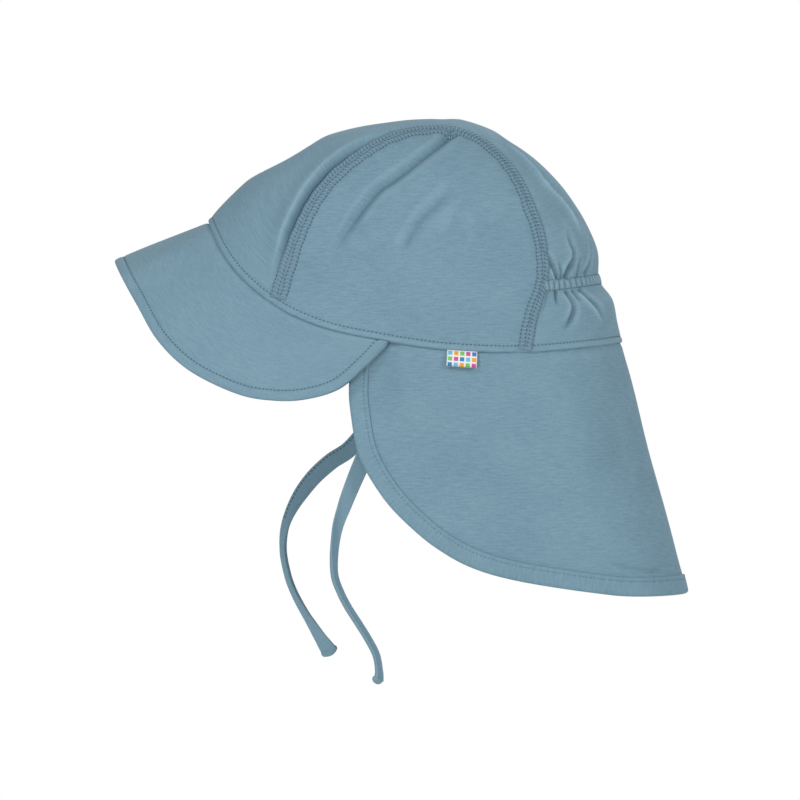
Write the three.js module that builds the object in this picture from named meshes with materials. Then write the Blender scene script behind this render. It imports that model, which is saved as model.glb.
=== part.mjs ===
// A small child's sun cap of cotton jersey: a crown of three panels, a soft peak, a neck flap with
// a bound edge, elastic gathered across the back, a striped label tab and two flat ties.
// Millimetres. The cap faces -Y, +Z is up, and the origin is the middle of the head opening.
import * as THREE from 'three';

// Crown: reaches are measured from the widest section, level with the head opening
const CROWN_HEIGHT = 103.7;
const HALF_WIDTH = 68;
const FRONT_REACH = 119;
const BACK_REACH = 86.5;
const WIDEST_Y = 5;
const FRONT_SECTION_POWER = 2.6; // 2 is an ellipse seen from above, more is squarer
const BACK_SECTION_POWER = 2.2;
const FRONT_DOME_POWER = 2.05;
const BACK_DOME_POWER = 2;
const SIDE_DOME_POWER = 2.5;

// Below the head opening the cloth runs out backwards and hangs slightly in at the sides
const BACK_FLARE = 0.259; // mm outwards for each mm down
const FLARE_START = 11.5;
const FLARE_SOFTNESS = 5;
const SIDE_TAPER = 0.03;

// Cloth and sewing
const CROWN_WALL = 1.6;
const PEAK_WALL = 2.4;
const FLAP_WALL = 1.3;
const SEAM_GAP = 0.3;
const BINDING_WIDTH = 7.8;
const BINDING_WALL = 0.6;
const BINDING_EASE = 0.4;
const FLAP_INSET = 0.4;
const INSET_UNDER_PEAK = 3.2;
const TIE_WIDTH = 7.8;
const TIE_THICKNESS = 1.4;
const LABEL_WIDTH = 13.8;
const LABEL_DROP = 7.8;
const LABEL_RIBBON = 0.6;
const LABEL_Y = 20.7;

// Gathered back: the channel that holds the elastic crosses the middle panel behind the head
const CASING_Z = 27.1; // at the panel seam
const CASING_SEAM_Y = 57.4;
const CASING_SLOPE = 0.15; // mm up for each mm back
const ELASTIC_HEIGHT = 5;
const ELASTIC_THICKNESS = 0.9;
const ELASTIC_EASE = 1.2;
const CASING_PINCH = 3.6;
const CASING_PINCH_REACH = 7;
const PLEAT_COUNT = 8;
const PLEAT_DEPTH = 0.9;
const PLEAT_REACH = 14;
const GATHER_FADE_POWER = 4; // the gathers die out near the panel seams

// Mesh steps
const PANEL_ROWS = 13;
const PANEL_COLUMNS = 20;
const MIDDLE_COLUMNS = 2 * PLEAT_COUNT;
const PEAK_COLUMNS = 34;
const PEAK_ROWS = 6;
const FLAP_COLUMNS = 44;
const FLAP_ROWS = 13;
const TIE_STEPS = 28;
const BISECTIONS = 40;

// The rim, where crown, peak and flap meet, seen from the side
const RIM = [
  { y: -96.0, z: 56.7 },
  { y: -90.6, z: 44.4 },
  { y: -82.2, z: 32.6 },
  { y: -70.5, z: 21.8 },
  { y: -58.7, z: 14.2 },
  { y: -41.1, z: 7.3 },
  { y: -17.7, z: 2.3 },
  { y: 12.9, z: -2.2 },
  { y: 49.2, z: -3.5 },
  { y: 82.2, z: -0.6 },
  { y: 94.5, z: 1.2 },
];

// Heights that the rim stays between
const BELOW_RIM = -8;
const ABOVE_RIM = 62;

// The seam between the middle panel and a side panel, seen from the side, from front rim to back rim
const PANEL_SEAM = [
  { y: -64.6, z: 17.9 },
  { y: -58.8, z: 37.7 },
  { y: -54.0, z: 51.8 },
  { y: -44.0, z: 70.5 },
  { y: -28.8, z: 85.3 },
  { y: -10.5, z: 95.5 },
  { y: 7.0, z: 98.9 },
  { y: 18.9, z: 98.3 },
  { y: 31.2, z: 92.5 },
  { y: 43.4, z: 80.2 },
  { y: 50.7, z: 65.8 },
  { y: 56.0, z: 49.6 },
  { y: 57.4, z: 30.0 },
  { y: 52.2, z: 13.5 },
  { y: 49.2, z: -3.5 },
];

// Each row is one line of the peak, from the rim out to its edge
const PEAK_LINES = [
  { rimY: -96.3, edgeX: 0, edgeY: -139.0, edgeZ: 38.6 },
  { rimY: -94.5, edgeX: 27, edgeY: -136.4, edgeZ: 30.6 },
  { rimY: -90.6, edgeX: 41.5, edgeY: -129.3, edgeZ: 18.0 },
  { rimY: -82.2, edgeX: 55, edgeY: -118.8, edgeZ: 2.4 },
  { rimY: -70.5, edgeX: 63.5, edgeY: -104.0, edgeZ: -11.5 },
  { rimY: -58.7, edgeX: 68, edgeY: -82.0, edgeZ: -22.2 },
  { rimY: -50.0, edgeX: 69.6, edgeY: -65.0, edgeZ: -25.2 },
  { rimY: -41.1, edgeX: 70.4, edgeY: -50.6, edgeZ: -24.4 },
  { rimY: -30.0, edgeX: 70.6, edgeY: -36.0, edgeZ: -19.8 },
  { rimY: -21.0, edgeX: 69.8, edgeY: -24.2, edgeZ: -10.0 },
  { rimY: -15.0, edgeX: 68.6, edgeY: -15.8, edgeZ: -1.4 },
];
const PEAK_REACH = 46; // at the middle of the peak
const PEAK_CROWNING = 0.7; // rise there above straight lines from rim to edge

// The flap's free edge seen from the side: down the front, round the corner, back along the hem
const FLAP_FRONT_EDGE = [
  { y: -30.6, z: 3.4 },
  { y: -31.9, z: -13.0 },
  { y: -31.5, z: -29.0 },
  { y: -26.6, z: -49.9 },
  { y: -17.0, z: -67.1 },
];
const FLAP_HEM = [
  { y: -17.0, z: -67.1 },
  { y: -5.9, z: -79.9 },
  { y: 10.6, z: -93.4 },
  { y: 27.0, z: -102.0 },
  { y: 48.9, z: -107.9 },
  { y: 81.9, z: -112.9 },
  { y: 104.0, z: -114.6 },
];
const HEM_BACK_Z = -113.0;
const PLAN_RADIUS = 75; // of the flap laid out flat, in mm for each radian round the cap
const FLAP_DROP = 110;
const FLAP_WAVE = -0.9; // soft folds towards the hem, behind the neck
const FLAP_WAVE_COUNT = 4;
const FLAP_WAVE_SPREAD = 1.1; // radians to each side of the middle back
const BEHIND_PEAK = { frontY: -18, backY: -4, lowZ: -60, highZ: -25 }; // where the flap is set in

// Creases, flats and swells of the worn crown, seen from the side: height is outwards, below zero a dent
const CROWN_FOLDS = [
  { fromY: -59, fromZ: 59, toY: -42, toZ: 84, width: 6, height: 2.0 },
  { fromY: 11, fromZ: 93, toY: -38, toZ: 47, width: 7, height: -1.8 },
  { fromY: 13, fromZ: 67, toY: -9, toZ: 34, width: 8, height: -1.1 },
  { fromY: -19, fromZ: 49, toY: -31, toZ: 35, width: 7, height: -0.8 },
  { fromY: -5, fromZ: 76, toY: -27, toZ: 52, width: 8, height: 1.0 },
  { fromY: -74, fromZ: 83, toY: -57, toZ: 92, width: 14, height: -3.0 },
  { fromY: -32, fromZ: 102, toY: -20, toZ: 104, width: 9, height: 1.3 },
  { fromY: 22, fromZ: 104, toY: 35, toZ: 97, width: 9, height: 1.4 },
  { fromY: 74, fromZ: 62, toY: 82, toZ: 46, width: 10, height: -0.9 },
];

// The ties' middle lines, from under the rim down to the free end
const TIE_LEFT_ROUTE = [
  [63.9, -7.4, -2], [62.0, -10.8, -14], [60.2, -15.5, -27], [58.9, -20, -40], [58.2, -25.3, -53.8],
  [57.8, -29.4, -63.5], [57.4, -33.2, -73], [57.0, -36.8, -83.3], [56.6, -38.4, -94.3],
  [56.3, -38.2, -105.3], [56.0, -35.7, -112.9], [55.8, -32, -120.2], [55.6, -27.4, -127.4],
  [55.6, -22.8, -134.8], [55.8, -19.1, -142.1], [56, -17.8, -149.5], [56, -18, -154],
];
const TIE_RIGHT_ROUTE = [
  [-63.8, -7.4, -2], [-61.9, -11.2, -14], [-59.5, -17.5, -27.5], [-58.4, -23.4, -38.6],
  [-58.2, -31.2, -48], [-58, -40, -54], [-57.7, -48, -62], [-57.4, -54.2, -72.2],
  [-57, -59, -83.3], [-56.6, -61, -94.3], [-56.2, -59.6, -105.3], [-56, -57, -112.9],
  [-55.8, -53.3, -120.2], [-55.6, -49, -127.4], [-55.6, -44.6, -134.8], [-55.8, -40, -142.2],
];

const JERSEY = { color: '#7a99aa', roughness: 0.95, metalness: 0 };
const JERSEY_DARK = { color: '#7393a5', roughness: 0.95, metalness: 0 };
const ELASTIC = { color: '#e8eaea', roughness: 0.85, metalness: 0 };
const LABEL_RIBBON_CLOTH = { color: '#f2f3f2', roughness: 0.6, metalness: 0 };

const lerp = THREE.MathUtils.lerp;
const clamp = THREE.MathUtils.clamp;
const smoothstep = THREE.MathUtils.smoothstep;
const bump = (distance, reach) => Math.exp(-((distance / reach) ** 2));
const signedPower = (value, power) => Math.sign(value) * Math.abs(value) ** power;

// Reach of the horizontal section at a height, to the front, the back and each side
function sectionAt(z) {
  const rise = clamp(z / CROWN_HEIGHT, 0, 1);
  const dome = (power) => (1 - rise ** power) ** (1 / power);
  const below = Math.max(0, -z);
  const flare = BACK_FLARE * FLARE_SOFTNESS * Math.log1p(Math.exp((FLARE_START - z) / FLARE_SOFTNESS));
  return {
    front: { reach: FRONT_REACH * dome(FRONT_DOME_POWER), power: FRONT_SECTION_POWER },
    back: { reach: BACK_REACH * dome(BACK_DOME_POWER) + flare, power: BACK_SECTION_POWER },
    side: HALF_WIDTH * dome(SIDE_DOME_POWER) - SIDE_TAPER * below,
  };
}

// Point of the cap's form at an angle round it: 0 is the front, a half turn the back
function formPoint(angle, z) {
  const section = sectionAt(z);
  const half = Math.cos(angle) > 0 ? section.front : section.back;
  const x = section.side * signedPower(Math.sin(angle), 2 / half.power);
  const ahead = half.reach * signedPower(Math.cos(angle), 2 / half.power);
  return new THREE.Vector3(x, WIDEST_Y - ahead, z);
}

// Angle round the form of a point on its left side, seen from the side
function angleOf(y, z) {
  const section = sectionAt(z);
  const half = y < WIDEST_Y ? section.front : section.back;
  const share = clamp((WIDEST_Y - y) / half.reach, -1, 1);
  return Math.acos(signedPower(share, half.power / 2));
}

// Angle round the form of a point near it
function angleTo(point) {
  const section = sectionAt(point.z);
  const half = point.y < WIDEST_Y ? section.front : section.back;
  const across = signedPower(point.x / section.side, half.power / 2);
  const ahead = signedPower((WIDEST_Y - point.y) / half.reach, half.power / 2);
  return Math.atan2(across, ahead);
}

function isInside(point) {
  if (point.z >= CROWN_HEIGHT) return false;
  const section = sectionAt(point.z);
  const half = point.y < WIDEST_Y ? section.front : section.back;
  const across = Math.abs(point.x / section.side) ** half.power;
  const along = Math.abs((point.y - WIDEST_Y) / half.reach) ** half.power;
  return across + along < 1;
}

const FORM_CENTRE = new THREE.Vector3(0, WIDEST_Y, 0);
const fromCentre = (point) => point.clone().sub(FORM_CENTRE).normalize();
const levelFromCentre = (point) => point.clone().sub(FORM_CENTRE).setZ(0).normalize();

// Moves a point straight out from the middle of the head opening until it lies on the crown
function ontoCrown(point) {
  const direction = fromCentre(point);
  let near = 0;
  let far = 2 * CROWN_HEIGHT;
  for (let step = 0; step < BISECTIONS; step++) {
    const middle = (near + far) / 2;
    if (isInside(FORM_CENTRE.clone().addScaledVector(direction, middle))) near = middle;
    else far = middle;
  }
  return FORM_CENTRE.clone().addScaledVector(direction, near);
}

// Smooth value of a table's column at a key, through its rows
function readTable(rows, keyName, columnName, key) {
  const last = rows.length - 1;
  let index = 0;
  while (index < last - 1 && key > rows[index + 1][keyName]) index++;
  const slopeAt = (i) => {
    const before = rows[Math.max(0, i - 1)];
    const after = rows[Math.min(last, i + 1)];
    return (after[columnName] - before[columnName]) / (after[keyName] - before[keyName]);
  };
  const start = rows[index];
  const end = rows[index + 1];
  const span = end[keyName] - start[keyName];
  const t = clamp((key - start[keyName]) / span, 0, 1);
  const endShare = 3 * t ** 2 - 2 * t ** 3;
  const startBend = (t ** 3 - 2 * t ** 2 + t) * span * slopeAt(index);
  const endBend = (t ** 3 - t ** 2) * span * slopeAt(index + 1);
  return lerp(start[columnName], end[columnName], endShare) + startBend + endBend;
}

// Rim point at an angle round the cap
function rimPoint(angle) {
  let low = BELOW_RIM;
  let high = ABOVE_RIM;
  for (let step = 0; step < BISECTIONS; step++) {
    const z = (low + high) / 2;
    const rimZ = readTable(RIM, 'y', 'z', formPoint(angle, z).y);
    if (z < rimZ) low = z;
    else high = z;
  }
  return formPoint(angle, (low + high) / 2);
}

const rimAngle = (y) => angleOf(y, readTable(RIM, 'y', 'z', y));

// Distance from a point to a straight crease, both seen from the side
function distanceToFold(fold, y, z) {
  const runY = fold.toY - fold.fromY;
  const runZ = fold.toZ - fold.fromZ;
  const along = ((y - fold.fromY) * runY + (z - fold.fromZ) * runZ) / (runY ** 2 + runZ ** 2);
  const t = clamp(along, 0, 1);
  return Math.hypot(y - fold.fromY - t * runY, z - fold.fromZ - t * runZ);
}

// Adds the creases of the worn crown to one of its points
function creased(point) {
  const relief = CROWN_FOLDS.reduce(
    (sum, fold) => sum + fold.height * bump(distanceToFold(fold, point.y, point.z), fold.width), 0,
  );
  return point.clone().addScaledVector(fromCentre(point), relief);
}

// Patch between four edges, rows going down and columns to the right as seen from outside
function patch(top, bottom, left, right, rows, columns) {
  const grid = [];
  for (let row = 0; row <= rows; row++) {
    const v = row / rows;
    const line = [];
    for (let column = 0; column <= columns; column++) {
      const u = column / columns;
      const point = top[column].clone().multiplyScalar(1 - v).addScaledVector(bottom[column], v);
      point.addScaledVector(left[row], 1 - u).addScaledVector(right[row], u);
      point.addScaledVector(top[0], -(1 - u) * (1 - v)).addScaledVector(top[columns], -u * (1 - v));
      point.addScaledVector(bottom[0], -(1 - u) * v).addScaledVector(bottom[columns], -u * v);
      line.push(point);
    }
    grid.push(line);
  }
  return grid;
}

// Indices round the edge of a grid, clockwise as seen from outside
function edgeLoop(rows, columns) {
  const loop = [];
  const indexOf = (row, column) => row * (columns + 1) + column;
  for (let column = 0; column < columns; column++) loop.push(indexOf(0, column));
  for (let row = 0; row < rows; row++) loop.push(indexOf(row, columns));
  for (let column = columns; column > 0; column--) loop.push(indexOf(rows, column));
  for (let row = rows; row > 0; row--) loop.push(indexOf(row, 0));
  return loop;
}

// Outer face of a sheet as a grid with its normals, or with the directions given for its wall
function outerFace(grid, wallDirection) {
  const rows = grid.length - 1;
  const columns = grid[0].length - 1;
  const face = new THREE.PlaneGeometry(1, 1, columns, rows);
  grid.flat().forEach((point, index) => face.attributes.position.setXYZ(index, point.x, point.y, point.z));
  face.computeVertexNormals();
  const points = grid.flat().map((point) => point.clone());
  const faceNormal = (_, index) => new THREE.Vector3().fromBufferAttribute(face.attributes.normal, index);
  const normals = points.map(wallDirection ?? faceNormal);
  return { points, normals, triangles: [...face.index.array], loop: edgeLoop(rows, columns) };
}

// Direction from an edge point of a sheet into the sheet
function intoSheet(face, step) {
  const { loop, points, normals } = face;
  const before = points[loop[(step + loop.length - 1) % loop.length]];
  const after = points[loop[(step + 1) % loop.length]];
  return after.clone().sub(before).cross(normals[loop[step]]).normalize();
}

// Closed wall: an outer face, an inner face a wall's thickness inside it, and a strip round the edge
function wallGeometry(grid, thickness, wallDirection) {
  const face = outerFace(grid, wallDirection);
  const inwards = face.loop.map((_, step) => intoSheet(face, step));
  face.loop.forEach((index, step) => face.points[index].addScaledVector(inwards[step], SEAM_GAP / 2));
  const behind = (point, index) => point.clone().addScaledVector(face.normals[index], -thickness);
  const inner = face.points.map(behind);
  const count = face.points.length;
  const triangles = [...face.triangles];
  for (let i = 0; i < face.triangles.length; i += 3) {
    const [a, b, c] = face.triangles.slice(i, i + 3);
    triangles.push(a + count, c + count, b + count);
  }
  face.loop.forEach((start, step) => {
    const end = face.loop[(step + 1) % face.loop.length];
    triangles.push(start, end, end + count, start, end + count, start + count);
  });
  return solidFrom([...face.points, ...inner], triangles);
}

function solidFrom(points, triangles) {
  const geometry = new THREE.BufferGeometry().setFromPoints(points);
  geometry.setIndex(triangles);
  geometry.computeVertexNormals();
  return geometry;
}

// Crown: the panel seam is sampled once, so that both panels share its points
const seamCurve = new THREE.CatmullRomCurve3(
  PANEL_SEAM.map(({ y, z }) => formPoint(angleOf(y, z), z)), false, 'centripetal',
);
const SEAM_STEPS = PANEL_COLUMNS + 2 * PANEL_ROWS;
const seamPoints = seamCurve.getSpacedPoints(SEAM_STEPS).map(ontoCrown);
const seamStart = seamPoints[0];
const seamEnd = seamPoints[SEAM_STEPS];
seamPoints[0] = rimPoint(rimAngle(seamStart.y));
seamPoints[SEAM_STEPS] = rimPoint(rimAngle(seamEnd.y));
const mirrored = (point) => new THREE.Vector3(-point.x, point.y, point.z);

function rimArc(fromAngle, toAngle, steps) {
  return Array.from({ length: steps + 1 }, (_, i) => rimPoint(lerp(fromAngle, toAngle, i / steps)));
}

// Side panel seen from the wearer's left: the seam is its front, top and back, the rim its bottom
function sidePanelGrid() {
  const left = seamPoints.slice(0, PANEL_ROWS + 1).reverse();
  const top = seamPoints.slice(PANEL_ROWS, PANEL_ROWS + PANEL_COLUMNS + 1);
  const right = seamPoints.slice(PANEL_ROWS + PANEL_COLUMNS);
  const bottom = rimArc(rimAngle(seamStart.y), rimAngle(seamEnd.y), PANEL_COLUMNS);
  const flat = patch(top, bottom, left, right, PANEL_ROWS, PANEL_COLUMNS);
  return flat.map((row) => row.map((point) => creased(ontoCrown(point))));
}

function mirrorGrid(grid) {
  return grid.map((row) => row.map(mirrored).reverse());
}

const aboveCasing = ({ y, z }) => z - CASING_Z - CASING_SLOPE * (y - CASING_SEAM_Y);

// Elastic draws the back of the middle panel in and gathers the cloth on both sides of it
function gathered(point, share) {
  if (point.y < WIDEST_Y) return point;
  const fromCasing = aboveCasing(point);
  const pinch = CASING_PINCH * bump(fromCasing, CASING_PINCH_REACH);
  const pleat = PLEAT_DEPTH * Math.cos(Math.PI * PLEAT_COUNT * (share + 1)) * bump(fromCasing, PLEAT_REACH);
  const fade = 1 - share ** GATHER_FADE_POWER;
  return point.clone().addScaledVector(levelFromCentre(point), (pleat - pinch) * fade);
}

const shareAcross = (column, columns) => (2 * column) / columns - 1;

// Middle panel seen from above with the front at the bottom: from back rim over the top to front rim
function middlePanelGrid() {
  const right = [...seamPoints].reverse();
  const left = right.map(mirrored);
  const frontAngle = rimAngle(seamStart.y);
  const backAngle = rimAngle(seamEnd.y);
  const top = rimArc(2 * Math.PI - backAngle, backAngle, MIDDLE_COLUMNS);
  const bottom = rimArc(-frontAngle, frontAngle, MIDDLE_COLUMNS);
  const flat = patch(top, bottom, left, right, SEAM_STEPS, MIDDLE_COLUMNS);
  return flat.map((row) => row.map((point, column) => (
    gathered(creased(ontoCrown(point)), shareAcross(column, MIDDLE_COLUMNS))
  )));
}

// Peak: straight lines from the rim to the edge, crowned a little between them
function peakGrid() {
  const mirrorLines = PEAK_LINES.slice(1).reverse().map((line) => ({ ...line, side: -1 }));
  const lines = [...mirrorLines, ...PEAK_LINES.map((line) => ({ ...line, side: 1 }))];
  const rimCurve = new THREE.CatmullRomCurve3(
    lines.map(({ rimY, side }) => rimPoint(side * rimAngle(rimY))),
  );
  const edgeCurve = new THREE.CatmullRomCurve3(
    lines.map(({ edgeX, edgeY, edgeZ, side }) => new THREE.Vector3(side * edgeX, edgeY, edgeZ)),
  );
  const grid = [];
  for (let row = 0; row <= PEAK_ROWS; row++) {
    const v = row / PEAK_ROWS;
    const line = [];
    for (let column = 0; column <= PEAK_COLUMNS; column++) {
      const rim = rimCurve.getPoint(column / PEAK_COLUMNS);
      const edge = edgeCurve.getPoint(column / PEAK_COLUMNS);
      const reachShare = rim.distanceTo(edge) / PEAK_REACH;
      const rise = PEAK_CROWNING * reachShare * 4 * v * (1 - v);
      const outwards = fromCentre(rim);
      line.push(rim.lerp(edge, v).addScaledVector(outwards, rise));
    }
    grid.push(line);
  }
  return grid;
}

// Neck flap: a patch laid out flat, as distance round the cap and height, then hung on the form
function flapGrid() {
  const onPlan = ({ y, z }) => new THREE.Vector3(angleOf(y, z) * PLAN_RADIUS, z, 0);
  const frontEdge = new THREE.CatmullRomCurve3(FLAP_FRONT_EDGE.map(onPlan)).getSpacedPoints(FLAP_ROWS);
  const middleBack = Math.PI * PLAN_RADIUS;
  const hemBack = new THREE.Vector3(middleBack, HEM_BACK_Z, 0);
  const hemCurve = new THREE.CatmullRomCurve3([...FLAP_HEM.map(onPlan), hemBack]);
  const hemHalf = hemCurve.getSpacedPoints(FLAP_COLUMNS / 2);
  const acrossBack = ({ x, y }) => new THREE.Vector3(2 * middleBack - x, y, 0);
  const hem = [...hemHalf, ...hemHalf.slice(0, -1).reverse().map(acrossBack)];
  const rimFrom = frontEdge[0].x;
  const rim = hem.map((_, column) => {
    const across = lerp(rimFrom, 2 * middleBack - rimFrom, column / FLAP_COLUMNS);
    return new THREE.Vector3(across, rimPoint(across / PLAN_RADIUS).z, 0);
  });
  frontEdge[0] = rim[0];
  const plan = patch(rim, hem, frontEdge, frontEdge.map(acrossBack), FLAP_ROWS, FLAP_COLUMNS);
  return plan.map((row) => row.map(({ x: across, y: z }) => flapPoint(across / PLAN_RADIUS, z)));
}

function flapPoint(angle, z) {
  const point = formPoint(angle, z);
  const inFront = 1 - smoothstep(point.y, BEHIND_PEAK.frontY, BEHIND_PEAK.backY);
  const nearRim = smoothstep(z, BEHIND_PEAK.lowZ, BEHIND_PEAK.highZ);
  const inset = lerp(FLAP_INSET, INSET_UNDER_PEAK, inFront * nearRim);
  const behind = bump(angle - Math.PI, FLAP_WAVE_SPREAD);
  const depth = clamp(-z / FLAP_DROP, 0, 1);
  const wave = FLAP_WAVE * depth * behind * Math.cos(FLAP_WAVE_COUNT * (angle - Math.PI));
  return point.addScaledVector(levelFromCentre(point), wave - inset);
}

// Point of the flap nearest to a point beside it
function ontoFlap(point) {
  const angle = angleTo(point);
  return flapPoint(angle < 0 ? angle + 2 * Math.PI : angle, point.z);
}

// Binding: a folded strip that holds the flap's free edge, its two legs lying along the flap
function bindingGeometry(grid) {
  const face = outerFace(grid);
  const start = grid[0].length - 1;
  const steps = 2 * (grid.length - 1) + grid[0].length - 1;
  const outer = BINDING_EASE + BINDING_WALL;
  const innerFace = -FLAP_WALL - BINDING_EASE;
  const innerSide = -FLAP_WALL - outer;
  const points = [];
  for (let step = 1; step < steps; step++) {
    const index = face.loop[(start + step) % face.loop.length];
    const edge = face.points[index];
    const normal = face.normals[index];
    const inwards = intoSheet(face, start + step);
    const legEnd = ontoFlap(edge.clone().addScaledVector(inwards, BINDING_WIDTH));
    const beside = (into, out) => edge.clone().addScaledVector(inwards, into).addScaledVector(normal, out);
    const atLegEnd = (out) => legEnd.clone().addScaledVector(normal, out);
    points.push(
      atLegEnd(BINDING_EASE), beside(-BINDING_EASE, BINDING_EASE), beside(-BINDING_EASE, innerFace),
      atLegEnd(innerFace), atLegEnd(innerSide), beside(-outer, innerSide), beside(-outer, outer),
      atLegEnd(outer),
    );
  }
  const endFace = [[0, 1, 6], [0, 6, 7], [1, 2, 5], [1, 5, 6], [2, 3, 4], [2, 4, 5]];
  return sweptSolid(points, 8, endFace);
}

// Joins rings of equal count into a tube closed by the given end faces
function sweptSolid(points, ringSize, endFace) {
  const rings = points.length / ringSize;
  const triangles = [];
  for (let ring = 0; ring < rings - 1; ring++) {
    for (let side = 0; side < ringSize; side++) {
      const a = ring * ringSize + side;
      const b = ring * ringSize + ((side + 1) % ringSize);
      triangles.push(a, b, a + ringSize, b, b + ringSize, a + ringSize);
    }
  }
  const lastRing = (rings - 1) * ringSize;
  endFace.forEach(([a, b, c]) => {
    triangles.push(a, c, b);
    triangles.push(a + lastRing, b + lastRing, c + lastRing);
  });
  return solidFrom(points, triangles);
}

// Elastic tape: a plain band inside the gathered cloth, which it follows averaged over its pleats
function elasticGrid(panel) {
  const clothAt = (column, height) => {
    const above = panel.findIndex((row) => aboveCasing(row[column]) > height);
    const [low, high] = [panel[above - 1][column], panel[above][column]];
    const share = (height - aboveCasing(low)) / (aboveCasing(high) - aboveCasing(low));
    return low.clone().lerp(high, share);
  };
  const clearance = CROWN_WALL + PLEAT_DEPTH + ELASTIC_EASE;
  const lineAt = (height) => {
    const line = [];
    for (let column = 1; column < MIDDLE_COLUMNS; column++) {
      const point = clothAt(column, height).multiplyScalar(2);
      point.add(clothAt(column - 1, height)).add(clothAt(column + 1, height)).divideScalar(4);
      line.push(point.addScaledVector(levelFromCentre(point), -clearance));
    }
    return line;
  };
  return [lineAt(ELASTIC_HEIGHT / 2), lineAt(-ELASTIC_HEIGHT / 2)];
}

// Label: a ribbon folded at the bottom, both ends caught in the rim seam
function labelGeometry() {
  const outerWidth = 2 * LABEL_RIBBON + SEAM_GAP;
  const foldRadius = outerWidth / 2;
  const foldZ = foldRadius - LABEL_DROP;
  const shape = new THREE.Shape();
  shape.moveTo(0, 0);
  shape.lineTo(0, foldZ);
  shape.absarc(foldRadius, foldZ, foldRadius, Math.PI, 2 * Math.PI, false);
  shape.lineTo(outerWidth, 0);
  shape.lineTo(outerWidth - LABEL_RIBBON, 0);
  shape.lineTo(outerWidth - LABEL_RIBBON, foldZ);
  shape.lineTo(LABEL_RIBBON, foldZ);
  shape.lineTo(LABEL_RIBBON, 0);
  const extent = { depth: LABEL_WIDTH, bevelEnabled: false, curveSegments: 6 };
  const geometry = new THREE.ExtrudeGeometry(shape, extent);
  geometry.rotateX(Math.PI / 2);
  geometry.translate(0, LABEL_WIDTH / 2, 0);
  return geometry;
}

// Tie: a flat ribbon with worn edges along its middle line
function tieGeometry(route) {
  const path = new THREE.CatmullRomCurve3(route.map((point) => new THREE.Vector3(...point)));
  const [thick, wide] = [TIE_THICKNESS / 2, TIE_WIDTH / 2];
  const corner = thick / 2;
  const shape = new THREE.Shape([
    new THREE.Vector2(thick, wide - corner), new THREE.Vector2(thick - corner, wide),
    new THREE.Vector2(corner - thick, wide), new THREE.Vector2(-thick, wide - corner),
    new THREE.Vector2(-thick, corner - wide), new THREE.Vector2(corner - thick, -wide),
    new THREE.Vector2(thick - corner, -wide), new THREE.Vector2(thick, corner - wide),
  ]);
  return new THREE.ExtrudeGeometry(shape, { steps: TIE_STEPS, extrudePath: path });
}

function named(name, geometry, finish) {
  const mesh = new THREE.Mesh(geometry, new THREE.MeshStandardMaterial(finish));
  mesh.name = name;
  return mesh;
}

const sideLeft = sidePanelGrid();
const middle = middlePanelGrid();
const flap = flapGrid();

const crown = new THREE.Group();
crown.add(named('middle_panel', wallGeometry(middle, CROWN_WALL, fromCentre), JERSEY));
crown.add(named('side_panel_left', wallGeometry(sideLeft, CROWN_WALL, fromCentre), JERSEY));
crown.add(named('side_panel_right', wallGeometry(mirrorGrid(sideLeft), CROWN_WALL, fromCentre), JERSEY));
crown.add(named('back_elastic', wallGeometry(elasticGrid(middle), ELASTIC_THICKNESS), ELASTIC));

const neck = new THREE.Group();
neck.add(named('neck_flap', wallGeometry(flap, FLAP_WALL), JERSEY));
neck.add(named('flap_hem', bindingGeometry(flap), JERSEY_DARK));

const labelTab = named('label_tab', labelGeometry(), LABEL_RIBBON_CLOTH);
const labelFront = rimPoint(rimAngle(LABEL_Y - LABEL_WIDTH / 2));
const labelBack = rimPoint(rimAngle(LABEL_Y + LABEL_WIDTH / 2));
labelTab.rotation.z = Math.atan2(labelFront.x - labelBack.x, LABEL_WIDTH);
labelTab.position.lerpVectors(labelFront, labelBack, 0.5);
labelTab.position.x += SEAM_GAP;
labelTab.position.z -= 2 * SEAM_GAP;
neck.add(labelTab);

const ties = new THREE.Group();
ties.add(named('tie_left', tieGeometry(TIE_LEFT_ROUTE), JERSEY_DARK));
ties.add(named('tie_right', tieGeometry(TIE_RIGHT_ROUTE), JERSEY_DARK));

const sunCap = new THREE.Group();
sunCap.add(crown, named('peak', wallGeometry(peakGrid(), PEAK_WALL), JERSEY), neck, ties);

export default sunCap;
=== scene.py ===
# %% [markdown]
# A small child's sun cap of cotton jersey, sewn from a crown of three panels, a soft peak, a neck
# flap with a bound hem, gathered elastic at the back, a label tab and two ties.
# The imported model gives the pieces' places and sizes. This lesson replaces its plain solids with
# finely meshed cloth that lies on the same forms, and adds the seams, stitches and finishes.

# %% Load the frame
import math

import bpy
import numpy as np
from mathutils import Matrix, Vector, kdtree, noise


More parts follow.
